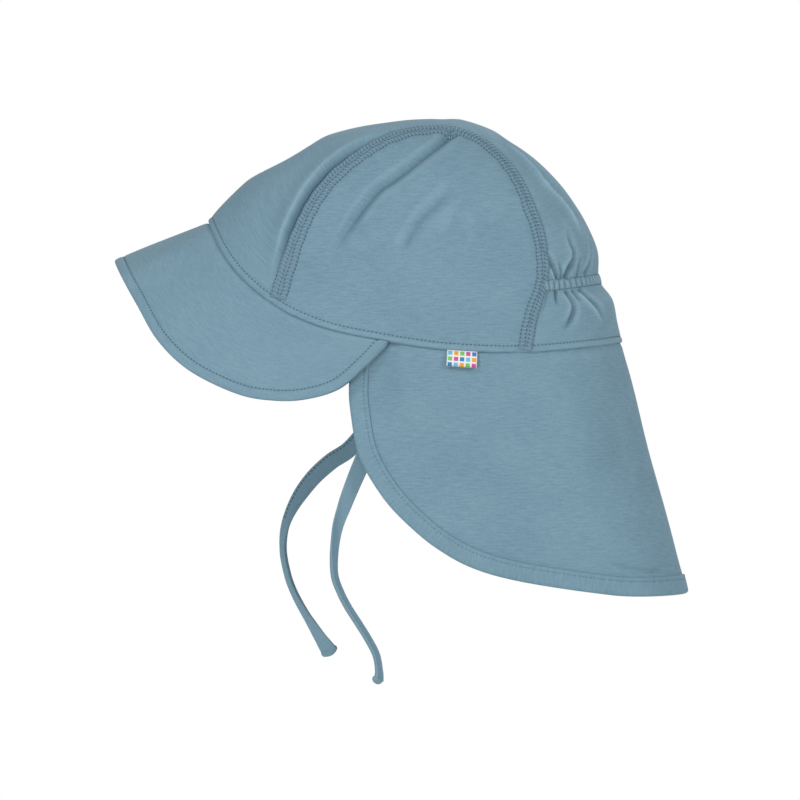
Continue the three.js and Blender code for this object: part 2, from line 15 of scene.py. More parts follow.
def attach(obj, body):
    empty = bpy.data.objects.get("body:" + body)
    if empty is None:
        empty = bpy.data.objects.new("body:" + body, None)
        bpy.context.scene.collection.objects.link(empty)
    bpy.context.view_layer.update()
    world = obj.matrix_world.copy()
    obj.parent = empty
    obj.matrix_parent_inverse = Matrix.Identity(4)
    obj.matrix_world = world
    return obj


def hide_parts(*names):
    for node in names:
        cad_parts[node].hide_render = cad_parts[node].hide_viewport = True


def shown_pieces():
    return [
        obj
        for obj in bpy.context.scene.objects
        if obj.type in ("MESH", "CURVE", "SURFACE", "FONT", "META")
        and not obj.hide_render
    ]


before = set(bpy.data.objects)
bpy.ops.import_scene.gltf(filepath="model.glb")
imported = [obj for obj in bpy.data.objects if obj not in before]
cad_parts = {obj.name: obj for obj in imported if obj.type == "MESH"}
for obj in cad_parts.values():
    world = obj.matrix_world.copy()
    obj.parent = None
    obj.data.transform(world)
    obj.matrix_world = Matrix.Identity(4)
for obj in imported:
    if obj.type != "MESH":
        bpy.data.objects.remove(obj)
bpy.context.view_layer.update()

# %% [markdown]
# The camera comes first, because it settles what the picture has to show. The photograph looks
# straight at the cap's side from far away, so the lens is very long and the camera level.
# One pixel of the square photograph is the same real size everywhere on the cap's middle plane.

# %% Camera
MM = 0.001  # one millimetre in Blender's metres
PHOTO_SIZE = 800  # pixels
PIXEL = 0.46 * MM
OPENING_PIXEL = (417, 345)  # where the middle of the head opening lies
LENS = 1000.0  # millimetres
SENSOR = 36.0


def add_camera():
    data = bpy.data.cameras.new("long_lens")
    data.lens = LENS
    data.sensor_width = SENSOR
    data.clip_end = 200
    camera = bpy.data.objects.new("camera", data)
    bpy.context.scene.collection.objects.link(camera)
    distance = PHOTO_SIZE * PIXEL * LENS / SENSOR
    middle_y = (PHOTO_SIZE / 2 - OPENING_PIXEL[0]) * PIXEL
    middle_z = (OPENING_PIXEL[1] - PHOTO_SIZE / 2) * PIXEL
    camera.location = (distance, middle_y, middle_z)
    camera.rotation_euler = (math.radians(90), 0, math.radians(90))
    bpy.context.scene.camera = camera
    print(f"camera {distance:.2f} m from the cap's middle plane")


add_camera()

# %% [markdown]
# Cloth is a smooth surface, so the pieces are made in mesh code from curves and grids of points.
# These helpers are used all through: smooth curves through a few points, equal steps along them,
# and values between 0 and 1 that fade a shape in and out.

# %% Curves and fades
CURVE_STEPS = 24  # between each two of the points that a curve goes through


def spline(points):
    """Smooth curve through points, with the same number of steps between each two of them."""
    given = np.asarray(points, float)
    padded = np.vstack([2 * given[0] - given[1], given, 2 * given[-1] - given[-2]])
    t = np.linspace(0, 1, CURVE_STEPS, endpoint=False)[:, None]
    pieces = []
    for before, start, end, after in zip(padded, padded[1:], padded[2:], padded[3:]):
        bend = 2 * before - 5 * start + 4 * end - after
        twist = 3 * (start - end) + after - before
        pieces.append(start + 0.5 * ((end - before) * t + bend * t**2 + twist * t**3))
    return np.vstack(pieces + [given[-1:]])


def smooth_curve(points, count):
    """Points at equal steps along a smooth curve through the given ones."""
    return at_shares(spline(points), np.linspace(0, 1, count))


def lengths_along(curve):
    steps = np.linalg.norm(np.diff(curve, axis=0), axis=1)
    return np.concatenate([[0], np.cumsum(steps)])


def at_shares(curve, shares):
    """Points at the given shares of a curve's length."""
    along = lengths_along(curve)
    wanted = np.asarray(shares) * along[-1]
    return np.stack([np.interp(wanted, along, curve[:, axis]) for axis in range(3)], axis=1)


def unit(vectors):
    return vectors / np.maximum(np.linalg.norm(vectors, axis=-1, keepdims=True), 1e-12)


def tangents(curve):
    return unit(np.gradient(curve, axis=0))


def fade_in(value, start, end):
    """0 up to start, 1 from end on, smooth between."""
    share = np.clip((value - start) / (end - start), 0, 1)
    return share**2 * (3 - 2 * share)


def hump(distance, reach):
    return np.exp(-((distance / reach) ** 2))


def signed_power(value, power):
    return np.sign(value) * np.abs(value) ** power


# %% [markdown]
# A mesh needs only its points, faces and a UV map. UVs here are real distances on the cloth in
# metres, so that knitting has the same size on every piece.

# %% Mesh helpers
FINISHED = []
# Steps of smoothing that show where creases lie, and the depths between which they are told apart, for the
# painted shade in creases and the painted highlight on ridges
HOLLOW_PASSES, HOLLOW_START, HOLLOW_DEPTH = 14, 0.12 * MM, 1.3 * MM


def link_mesh(name, points, faces):
    mesh = bpy.data.meshes.new(name)
    mesh.from_pydata(points.tolist(), [], faces)
    mesh.shade_smooth()
    piece = bpy.data.objects.new(name, mesh)
    bpy.context.scene.collection.objects.link(piece)
    return piece


def set_uv(mesh, uv):
    """Gives a mesh its UV map, from one place on the cloth for each point."""
    corners = np.zeros(len(mesh.loops), np.int32)
    mesh.loops.foreach_get("vertex_index", corners)
    mesh.uv_layers.new(name="cloth").data.foreach_set("uv", uv[corners].astype(np.float32).ravel())


def new_piece(name, points, faces, uv, hollow=None):
    piece = link_mesh(name, points, faces)
    set_uv(piece.data, uv)
    # An attribute of painted shading: painted shade in creases where above 0, painted highlight on ridges
    # where below 0
    if hollow is not None:
        values = piece.data.attributes.new("hollow", "FLOAT", "POINT").data
        values.foreach_set("value", hollow.astype(np.float32))
    return piece


def grid_faces(rows, columns):
    """Faces of a grid of points, rows going down and columns right as seen from outside."""
    index = np.arange(rows * columns).reshape(rows, columns)
    corners = (index[:-1, :-1], index[1:, :-1], index[1:, 1:], index[:-1, 1:])
    return np.stack([corner.ravel() for corner in corners], axis=1)


def grid_normals(grid):
    """Unit normals of a grid's points, each the mean of the faces that meet there."""
    diagonal_down = grid[1:, 1:] - grid[:-1, :-1]
    diagonal_up = grid[:-1, 1:] - grid[1:, :-1]
    face_normals = np.cross(diagonal_down, diagonal_up)
    total = np.zeros_like(grid)
    for down in (0, 1):
        for right in (0, 1):
            rows, columns = face_normals.shape[:2]
            total[down:down + rows, right:right + columns] += face_normals
    return unit(total)


def border(rows, columns):
    """Indices round a grid's edge, clockwise as seen from outside."""
    index = np.arange(rows * columns).reshape(rows, columns)
    return np.concatenate([index[0, :-1], index[:-1, -1], index[-1, :0:-1], index[:0:-1, 0]])


def averaged(grid, passes):
    """A grid of points or values with each one moved towards its neighbours."""
    for _ in range(passes):
        for axis in (0, 1):
            padded = np.concatenate([grid.take([0], axis), grid, grid.take([-1], axis)], axis)
            count = grid.shape[axis]
            before, after = (padded.take(range(start, start + count), axis) for start in (0, 2))
            grid = (before + 2 * grid + after) / 4
    return grid


def hollows(grid):
    """How far each point lies below the cloth around it, from 0 to 1, and below 0 where it stands up."""
    below = ((averaged(grid, HOLLOW_PASSES) - grid) * grid_normals(grid)).sum(-1)
    beyond_start = np.sign(below) * np.maximum(0, np.abs(below) - HOLLOW_START)
    return np.clip(beyond_start / HOLLOW_DEPTH, -1, 1)


def cloth_wall(name, grid, thickness, uv, roundness=0.35, inwards=None, hollow=None):
    """Closed wall of cloth below a grid of points. Its edges bulge by a share of the thickness."""
    rows, columns = grid.shape[:2]
    outer = grid.reshape(-1, 3)
    normals = grid_normals(grid).reshape(-1, 3)
    inner = outer + (-normals if inwards is None else inwards.reshape(-1, 3)) * thickness
    loop = border(rows, columns)
    along = outer[np.roll(loop, -1)] - outer[np.roll(loop, 1)]
    outwards = -unit(np.cross(along, normals[loop]))
    middle = (outer[loop] + inner[loop]) / 2 + outwards * thickness * roundness
    points = np.vstack([outer, inner, middle])
    face = grid_faces(rows, columns)
    count = len(outer)
    middle_index = 2 * count + np.arange(len(loop))
    next_loop, next_middle = np.roll(loop, -1), np.roll(middle_index, -1)
    upper_strip = np.stack([loop, next_loop, next_middle, middle_index], axis=1)
    lower_strip = np.stack([middle_index, next_middle, next_loop + count, loop + count], axis=1)
    faces = np.vstack([face, face[:, ::-1] + count, upper_strip, lower_strip])
    flat_uv = uv.reshape(-1, 2)
    uv = np.vstack([flat_uv, flat_uv, flat_uv[loop]])
    # Painted shading of the outer face: painted shade in its creases and painted highlight on its ridges,
    # unless given; none on the inner face and edges
    shade = hollows(grid) if hollow is None else hollow
    shade = np.concatenate([shade.ravel(), np.zeros(count + len(loop))])
    return new_piece(name, points, faces.tolist(), uv, shade)


def tube(name, rings, uv_length):
    """Closed tube through rings of points, given as an array of rings, sides and coordinates."""
    spokes = rings - rings.mean(1, keepdims=True)
    turning = np.cross(spokes, np.roll(spokes, -1, axis=1)).sum(1)
    if (turning * tangents(rings.mean(1))).sum() < 0:
        rings = rings[:, ::-1]  # so that the walls face outwards
    count, sides = rings.shape[:2]
    points = np.vstack([rings.reshape(-1, 3), rings[0].mean(0)[None], rings[-1].mean(0)[None]])
    ring = np.arange(count - 1)[:, None] * sides
    side = np.arange(sides)[None, :]
    after = (side + 1) % sides
    walls = np.stack([ring + side, ring + after, ring + after + sides, ring + side + sides], axis=-1)
    faces = walls.reshape(-1, 4).tolist()
    last = (count - 1) * sides
    for here, there in zip(side[0], after[0]):
        faces.append([count * sides, there, here])
        faces.append([count * sides + 1, last + here, last + there])
    around = np.linalg.norm(np.diff(rings, axis=1), axis=2).mean(0)
    across = np.concatenate([[0], np.cumsum(around)])
    uv = np.stack(np.meshgrid(across, uv_length), axis=-1).reshape(-1, 2)
    return new_piece(name, points, faces, np.vstack([uv, uv[:1], uv[-1:]]))


def keep(piece, material_slot, *replaced):
    """Books a finished piece in: what it rides on, and the CAD nodes it stands for."""
    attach(piece, "root")
    if replaced:
        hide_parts(*replaced)
    triangles = sum(len(face.vertices) - 2 for face in piece.data.polygons)
    FINISHED.append((piece.name, triangles))
    print(f"{piece.name}: {triangles} triangles")
    return piece


# %% [markdown]
# Stitches are repeated hundreds of times, so one is modelled by hand with few faces and then
# copied along each row. It is a short length of thread whose two ends go down into the cloth.

# %% One stitch
# Where it bends down and where its tips begin, how deep they go, and how thin they get
STITCH_BEND, STITCH_TIP, STITCH_DIVE, STITCH_TAPER = 0.28, 0.45, 0.45, 0.7
STITCH_RISE = 0.2  # of the thread's thickness, from the cloth up to the stitch's middle


def select_where(piece, test):
    """Selects the vertices of a mesh that a test picks, for the edit mode operators."""
    bpy.ops.object.mode_set(mode="OBJECT")
    for face in piece.data.polygons:
        face.select = False
    for edge in piece.data.edges:
        edge.select = False
    for vertex in piece.data.vertices:
        vertex.select = test(vertex.co)
    bpy.ops.object.mode_set(mode="EDIT")


def model_stitch():
    """Thread one unit long and one unit thick along X. Returns its points and faces."""
    bpy.ops.object.select_all(action="DESELECT")
    bpy.ops.mesh.primitive_cylinder_add(vertices=6, radius=0.5, depth=1, rotation=(0, math.pi / 2, 0))
    piece = bpy.context.object
    bpy.ops.object.transform_apply(location=False, rotation=True, scale=False)
    bpy.ops.object.mode_set(mode="EDIT")
    for cut in (-STITCH_BEND, STITCH_BEND):
        bpy.ops.mesh.select_all(action="SELECT")
        bpy.ops.mesh.bisect(plane_co=(cut, 0, 0), plane_no=(1, 0, 0))
    bpy.ops.mesh.select_mode(type="VERT")
    select_where(piece, lambda place: abs(place.x) > STITCH_TIP)
    bpy.ops.transform.translate(value=(0, 0, -STITCH_DIVE))
    bpy.ops.transform.resize(value=(1, STITCH_TAPER, STITCH_TAPER))
    bpy.ops.object.mode_set(mode="OBJECT")
    points = np.array([vertex.co for vertex in piece.data.vertices], float)
    faces = [list(face.vertices) for face in piece.data.polygons]
    bpy.data.objects.remove(piece)
    return points, faces


STITCH_POINTS, STITCH_FACES = model_stitch()
print(f"one stitch has {len(STITCH_FACES)} faces")


def thread_piece(name, points, faces):
    return keep(link_mesh(name, points, faces), "jersey_binding")


def sewn_stitches(centres, ahead, upwards, length, thickness):
    """Points and faces of stitches at the given places, each turned its own way."""
    upwards = unit(upwards - ahead * (upwards * ahead).sum(1, keepdims=True))
    sideways = np.cross(upwards, ahead)
    along, beside, above = STITCH_POINTS.T[:, None, :, None]
    points = (
        centres[:, None] + ahead[:, None] * along * length
        + sideways[:, None] * beside * thickness + upwards[:, None] * above * thickness
    )
    count = len(STITCH_POINTS)
    faces = [
        [corner + copy * count for corner in face]
        for copy in range(len(centres)) for face in STITCH_FACES
    ]
    return points.reshape(-1, 3), faces


STITCH_PITCH, STITCH_LENGTH, THREAD = 1.9 * MM, 1.15 * MM, 0.42 * MM


def topstitch(name, line, upwards, pitch=STITCH_PITCH, length=STITCH_LENGTH, thread=THREAD):
    """A row of stitches along a line of points on the cloth, given with the way out of the cloth."""
    total = lengths_along(line)[-1]
    shares = np.arange(pitch / 2, total - pitch / 2, pitch) / total
    centres = at_shares(line, shares)
    index = np.clip(np.round(shares * (len(line) - 1)).astype(int), 0, len(line) - 1)
    outwards = upwards[index]
    ahead = tangents(line)[index]
    centres = centres + outwards * thread * STITCH_RISE
    points, faces = sewn_stitches(centres, ahead, outwards, length, thread)
    return thread_piece(name, points, faces)


# %% [markdown]
# A tie is a strip of the same jersey, folded and stitched flat, 7.8 mm wide. Both ties are as long
# as the photograph shows, plus the stretch up behind the flap to the rim seam. They hang limp, so
# their routes are the model's, and each strip turns on its way down: flat to the camera at the top
# and nearly edge on from halfway down. The far one opens again towards its end. The ends are raw,
# and the jersey there has rolled itself up into a bead, which is a small piece of its own. Lower
# down the stitched edge is rolled in too, so the stitches show only over the upper part.

# %% Ties
TIE_LEFT_ROUTE = [
    [0.0639, -0.0074, -0.002], [0.062, -0.0108, -0.014], [0.0602, -0.0155, -0.027],
    [0.0589, -0.02, -0.04], [0.0582, -0.0253, -0.0538], [0.0578, -0.0294, -0.0635],
    [0.0574, -0.0332, -0.073], [0.057, -0.0368, -0.0833], [0.0566, -0.0384, -0.0943],
    [0.0563, -0.0382, -0.1053], [0.056, -0.0357, -0.1129], [0.0558, -0.032, -0.1202],
    [0.0556, -0.0274, -0.1274], [0.0556, -0.0228, -0.1348], [0.0558, -0.0191, -0.1421],
    [0.056, -0.0178, -0.1495], [0.056, -0.018, -0.154],
]
TIE_RIGHT_ROUTE = [
    [-0.0638, -0.0074, -0.002], [-0.0619, -0.0112, -0.014], [-0.0595, -0.0175, -0.0275],
    [-0.0584, -0.0234, -0.0386], [-0.0582, -0.0312, -0.048], [-0.058, -0.04, -0.054],
    [-0.0577, -0.0485, -0.062], [-0.0574, -0.0556, -0.0722], [-0.057, -0.0603, -0.0833],
    [-0.0566, -0.0615, -0.0943], [-0.0562, -0.0596, -0.1053], [-0.056, -0.057, -0.1129],
    [-0.0558, -0.0533, -0.1202], [-0.0556, -0.049, -0.1274], [-0.0556, -0.0446, -0.1348],
    [-0.0558, -0.04, -0.1422],
]
TIE_WIDTH = 7.8 * MM
TIE_THICKNESS = 1.5 * MM
TIE_STEPS = 220
TIE_SIDES = 24
TIE_EDGE_POWER, TIE_FACE_POWER = 0.75, 0.6  # how square the strip's section is
TIE_SEAM = 0.68  # where its edge is stitched, as a share of half the width
TIE_SEAM_DEPTH, TIE_SEAM_REACH = 0.28, 0.1  # shares of the thickness and of half the width
TIE_STITCHED = (0.12, 0.6)  # shares of the length between which the stitches show
TIE_STITCH_LEVEL = 0.8  # of half the thickness, because the stitches lie in a groove
CUP_MIDDLE = 0.35  # of the cupping, so that a cupped strip stays on its route
END_ROLL_SHARE, END_SWELL = 0.024, 0.9  # of the length, and of the thickness, where the raw end rolls up
END_RADIUS, END_STEPS, END_SIDES = 1.75 * MM, 48, 14
# Share of the length, turn of the strip in degrees, share of the full width, cupping in mm
TIE_LEFT_TURN = [
    (0.0, 0, 1.0, 0.2), (0.36, 8, 1.0, 0.3), (0.46, 30, 0.95, 0.8), (0.56, 54, 0.85, 1.3),
    (0.66, 68, 0.72, 1.6), (0.76, 68, 0.7, 1.6), (0.9, 66, 0.7, 1.5), (0.97, 64, 0.72, 1.3),
    (1.0, 56, 0.8, 0.9),
]
TIE_RIGHT_TURN = [
    (0.0, 0, 1.0, 0.2), (0.4, -4, 1.0, 0.3), (0.5, -26, 0.98, 0.6), (0.58, -52, 0.88, 1.1),
    (0.67, -70, 0.7, 1.5), (0.8, -68, 0.7, 1.5), (0.88, -56, 0.75, 1.2), (0.95, -36, 0.86, 0.8),
    (1.0, -12, 0.98, 0.3),
]


def tie_frame(route, turn):
    """Middle line of a tie with its width and thickness directions, widths and cupping."""
    line = smooth_curve(route, TIE_STEPS)
    shares = np.linspace(0, 1, TIE_STEPS)
    table = np.array(turn, float)
    degrees, width, cup = (np.interp(shares, table[:, 0], table[:, column]) for column in (1, 2, 3))
    ahead = tangents(line)
    flat = unit(np.cross(ahead, [1.0, 0, 0]))
    facing = np.cross(flat, ahead)
    cos, sin = np.cos(np.radians(degrees))[:, None], np.sin(np.radians(degrees))[:, None]
    return line, flat * cos + facing * sin, facing * cos - flat * sin, width * TIE_WIDTH / 2, cup * MM


def rolled_end(name, middle, across, facing, ahead, half_width):
    """The raw end of a tie, where the jersey rolls up into a small bead, bent and uneven."""
    place = np.linspace(-1, 1, END_STEPS)[:, None]
    bulk = np.sqrt(1 - 0.8 * place**6) * (0.9 + 0.12 * np.sin(2.5 * place + 1))
    sag = 0.25 * END_RADIUS * np.sin(2.5 * place + 2)
    centres = middle + across * place * half_width * 1.04 + ahead * sag
    angle = np.linspace(0, 2 * math.pi, END_SIDES, endpoint=False)[None, :, None]
    outline = facing * np.cos(angle) + ahead * np.sin(angle)
    rings = centres[:, None] + outline * END_RADIUS * bulk[:, None]
    return keep(tube(name, rings, lengths_along(centres)), "jersey_binding")


def make_tie(name, route, turn, side):
    """A tie with its stitches, on the edge and the face that side picks as 1 or -1, and its bead."""
    line, across, facing, half_width, cup = tie_frame(route, turn)
    angle = np.linspace(0, 2 * math.pi, TIE_SIDES, endpoint=False)
    wide = signed_power(np.cos(angle), TIE_EDGE_POWER)[None, :, None]
    thick = signed_power(np.sin(angle), TIE_FACE_POWER)[None, :, None] * TIE_THICKNESS / 2
    seam = 1 - TIE_SEAM_DEPTH * hump(np.abs(wide) - TIE_SEAM, TIE_SEAM_REACH)
    shares = np.linspace(0, 1, TIE_STEPS)[:, None, None]
    thick = thick * seam * (1 + END_SWELL * hump(shares - 1, END_ROLL_SHARE))
    rings = (
        line[:, None] + across[:, None] * wide * half_width[:, None, None]
        + facing[:, None] * (thick + cup[:, None, None] * (wide**2 - CUP_MIDDLE))
    )
    piece = tube(f"{name}_ribbon", rings, lengths_along(line))
    stitch_line = line + across * (half_width * TIE_SEAM * side)[:, None]
    level = side * (TIE_THICKNESS / 2 * TIE_STITCH_LEVEL) + cup * (TIE_SEAM**2 - CUP_MIDDLE)
    stitch_line += facing * level[:, None]
    shown = slice(*(int(share * TIE_STEPS) for share in TIE_STITCHED))
    stitches = topstitch(
        f"{name}_stitches", stitch_line[shown], (facing * side)[shown], pitch=1.9 * MM, length=1.2 * MM
    )
    bead = rolled_end(
        f"{name}_rolled_end", line[-2], across[-1], facing[-1], tangents(line)[-1], half_width[-1]
    )
    keep(piece, "jersey_binding", name)


make_tie("tie_left", TIE_LEFT_ROUTE, TIE_LEFT_TURN, -1)
make_tie("tie_right", TIE_RIGHT_ROUTE, TIE_RIGHT_TURN, 1)

# %% [markdown]
# The worn cap has one simple form under all its cloth: seen from above each level is a rounded
# oval, squarer in front, and its reach to the front, back and sides shrinks like a dome towards
# the top. Below the head opening the back runs outwards, where the flap stands off the neck.
# Everything is laid on this form, so pieces made apart still meet.

# %% Form of the worn cap
CROWN_HEIGHT = 103.7 * MM
HALF_WIDTH = 68 * MM
FRONT_REACH, BACK_REACH = 119 * MM, 86.5 * MM
WIDEST_Y = 5 * MM
FRONT_SECTION_POWER, BACK_SECTION_POWER = 2.6, 2.2
FRONT_DOME_POWER, BACK_DOME_POWER, SIDE_DOME_POWER = 2.05, 2.0, 2.5
BACK_FLARE, FLARE_START, FLARE_SOFTNESS = 0.259, 11.5 * MM, 5 * MM
SIDE_TAPER = 0.03
FORM_CENTRE = np.array([0, WIDEST_Y, 0])
HALVINGS = 40  # of the span in which a place is searched, far below a thousandth of a millimetre


def section_at(z):
    """Reach to the front, to the back and to each side at a height."""
    rise = np.clip(z / CROWN_HEIGHT, 0, 1)
    front, back, side = (
        (1 - rise**power) ** (1 / power)
        for power in (FRONT_DOME_POWER, BACK_DOME_POWER, SIDE_DOME_POWER)
    )
    flare = BACK_FLARE * FLARE_SOFTNESS * np.log1p(np.exp((FLARE_START - z) / FLARE_SOFTNESS))
    below = np.maximum(0, -z)
    return FRONT_REACH * front, BACK_REACH * back + flare, HALF_WIDTH * side - SIDE_TAPER * below


def half_at(ahead, z):
    """Reach, side reach and section power of the half that a point lies in."""
    front, back, side = section_at(z)
    reach = np.maximum(np.where(ahead > 0, front, back), 1e-9)
    return reach, np.maximum(side, 1e-9), np.where(ahead > 0, FRONT_SECTION_POWER, BACK_SECTION_POWER)


def form_point(angle, z):
    """Points of the form: angle 0 is the front, a half turn the back, positive to the left side."""
    angle, z = np.broadcast_arrays(np.asarray(angle, float), np.asarray(z, float))
    reach, side, power = half_at(np.cos(angle), z)
    x = side * signed_power(np.sin(angle), 2 / power)
    ahead = reach * signed_power(np.cos(angle), 2 / power)
    return np.stack([x, WIDEST_Y - ahead, z], axis=-1)


def angle_of(y, z):
    """Angle of the left side's point that is seen at a place from the side."""
    y, z = np.asarray(y, float), np.asarray(z, float)
    reach, _, power = half_at(WIDEST_Y - y, z)
    return np.arccos(signed_power(np.clip((WIDEST_Y - y) / reach, -1, 1), power / 2))


def angle_to(points):
    """Angle round the form of points near it."""
    ahead = WIDEST_Y - points[..., 1]
    reach, side, power = half_at(ahead, points[..., 2])
    across = signed_power(points[..., 0] / side, power / 2)
    return np.arctan2(across, signed_power(ahead / reach, power / 2))


def is_inside(points):
    ahead = WIDEST_Y - points[..., 1]
    reach, side, power = half_at(ahead, points[..., 2])
    inside = np.abs(points[..., 0] / side) ** power + np.abs(ahead / reach) ** power < 1
    return inside & (points[..., 2] < CROWN_HEIGHT)


def from_centre(points):
    return unit(points - FORM_CENTRE)


def onto_crown(points):
    """Moves points straight out from the middle of the head opening onto the form."""
    direction = from_centre(points)
    near = np.zeros(points.shape[:-1])
    far = np.full(points.shape[:-1], 2 * CROWN_HEIGHT)
    for _ in range(HALVINGS):
        middle = (near + far) / 2
        inside = is_inside(FORM_CENTRE + direction * middle[..., None])
        near, far = np.where(inside, middle, near), np.where(inside, far, middle)
    return FORM_CENTRE + direction * near[..., None]


print("widest section in millimetres:", [round(float(1000 * reach), 1) for reach in section_at(0.0)])

# %% [markdown]
# Two lines divide the cap. The rim is where crown, peak and flap are sewn together. The panel seam
# runs from the front rim over the top to the back rim. Both are read off the side view as a few
# heights and joined smoothly.

# %% Rim and panel seam
RIM_SIDE = MM * np.array([
    (-96.0, 56.7), (-90.6, 44.4), (-82.2, 32.6), (-70.5, 21.8), (-58.7, 14.2), (-41.1, 7.3),
    (-17.7, 2.3), (12.9, -2.2), (49.2, -3.5), (82.2, -0.6), (94.5, 1.2),
])
SEAM_SIDE = MM * np.array([
    (-64.6, 17.9), (-58.8, 37.7), (-54.0, 51.8), (-44.0, 70.5), (-28.8, 85.3), (-10.5, 95.5),
    (7.0, 98.9), (18.9, 98.3), (31.2, 92.5), (43.4, 80.2), (50.7, 65.8), (56.0, 49.6),
    (57.4, 30.0), (52.2, 13.5), (49.2, -3.5),
])
RIM_LOWEST, RIM_HIGHEST = -8 * MM, 62 * MM  # the rim is searched between these heights
SEAM_STEPS = 900
RIM_STEPS = 1400


def smooth_table(keys, values, wanted):
    """Smooth values between a table's rows."""
    row = np.arange(len(keys))
    before, after = np.maximum(row - 1, 0), np.minimum(row + 1, len(keys) - 1)
    slopes = (values[after] - values[before]) / (keys[after] - keys[before])
    index = np.clip(np.searchsorted(keys, wanted) - 1, 0, len(keys) - 2)
    span = keys[index + 1] - keys[index]
    t = np.clip((wanted - keys[index]) / span, 0, 1)
    rise = values[index] + (values[index + 1] - values[index]) * (3 * t**2 - 2 * t**3)
    start_bend = (t**3 - 2 * t**2 + t) * span * slopes[index]
    return rise + start_bend + (t**3 - t**2) * span * slopes[index + 1]


def rim_at(angle):
    """Rim points at angles round the cap."""
    angle = np.asarray(angle, float)
    low, high = np.full(angle.shape, RIM_LOWEST), np.full(angle.shape, RIM_HIGHEST)
    for _ in range(HALVINGS):
        z = (low + high) / 2
        rim_z = smooth_table(RIM_SIDE[:, 0], RIM_SIDE[:, 1], form_point(angle, z)[..., 1])
        low, high = np.where(z < rim_z, z, low), np.where(z < rim_z, high, z)
    return form_point(angle, (low + high) / 2)


def rim_angle(y):
    return angle_of(y, smooth_table(RIM_SIDE[:, 0], RIM_SIDE[:, 1], np.asarray(y, float)))


SEAM = smooth_curve(form_point(angle_of(*SEAM_SIDE.T), SEAM_SIDE[:, 1]), SEAM_STEPS)
SEAM = onto_crown(SEAM)
SEAM[0], SEAM[-1] = rim_at(rim_angle(SEAM[0, 1])), rim_at(rim_angle(SEAM[-1, 1]))
FRONT_SEAM_ANGLE, BACK_SEAM_ANGLE = rim_angle(SEAM[0, 1]), rim_angle(SEAM[-1, 1])
RIM = rim_at(np.linspace(0, 2 * math.pi, RIM_STEPS, endpoint=False))
MIRROR = np.array([-1.0, 1.0, 1.0])
print(f"panel seam {1000 * lengths_along(SEAM)[-1]:.0f} mm long,",
      f"rim {1000 * lengths_along(RIM)[-1]:.0f} mm round")

# %% [markdown]
# A point on the crown needs to know how far it lies from the panel seam and from the rim, because
# the cloth puckers and swells beside its stitching. A search tree over a line's points answers
# that quickly. The two seams mirror each other, so one line serves both.

# %% Distances from seam and rim


def search_tree(points):
    tree = kdtree.KDTree(len(points))
    for index, point in enumerate(points):
        tree.insert(point, index)
    tree.balance()
    return tree


def nearest_index(tree, points):
    return np.array([tree.find(point)[1] for point in points])


SEAM_TREE, RIM_TREE = search_tree(SEAM), search_tree(RIM)
SEAM_AHEAD = tangents(SEAM)
SEAM_SIDEWAYS = unit(np.cross(SEAM_AHEAD, from_centre(SEAM)))
SEAM_SIDEWAYS *= np.where(SEAM_SIDEWAYS[:, :1] > 0, -1, 1)  # towards the middle panel
RIM_AHEAD = unit(np.roll(RIM, -1, axis=0) - np.roll(RIM, 1, axis=0))
RIM_UPWARDS = unit(np.cross(RIM_AHEAD, from_centre(RIM)))
RIM_UPWARDS *= np.where(RIM_UPWARDS[:, 2:] < 0, -1, 1)


def beside_seam(points):
    """Distance from the panel seam, above zero on the middle panel, and the seam's share there."""
    near_side = np.stack([np.abs(points[:, 0]), points[:, 1], points[:, 2]], axis=1)
    index = nearest_index(SEAM_TREE, near_side)
    offset = near_side - SEAM[index]
    distance = np.linalg.norm(offset, axis=1)
    return distance * np.where((offset * SEAM_SIDEWAYS[index]).sum(1) > 0, 1, -1), index / SEAM_STEPS


def above_rim(points):
    index = nearest_index(RIM_TREE, points)
    return ((points - RIM[index]) * RIM_UPWARDS[index]).sum(1), index


# %% [markdown]
# Worn jersey isn't a clean dome. The photograph shows one deep crease running down and forwards
# from the top of the near seam, a rolled ridge beside the front seam with a dark valley under it,
# softer dents below, and a ridge along the back. Each crease is a short line seen from the side,
# with a width and a height, and fades out towards its ends. A lip beside it keeps it from looking
# pressed in with a tool.

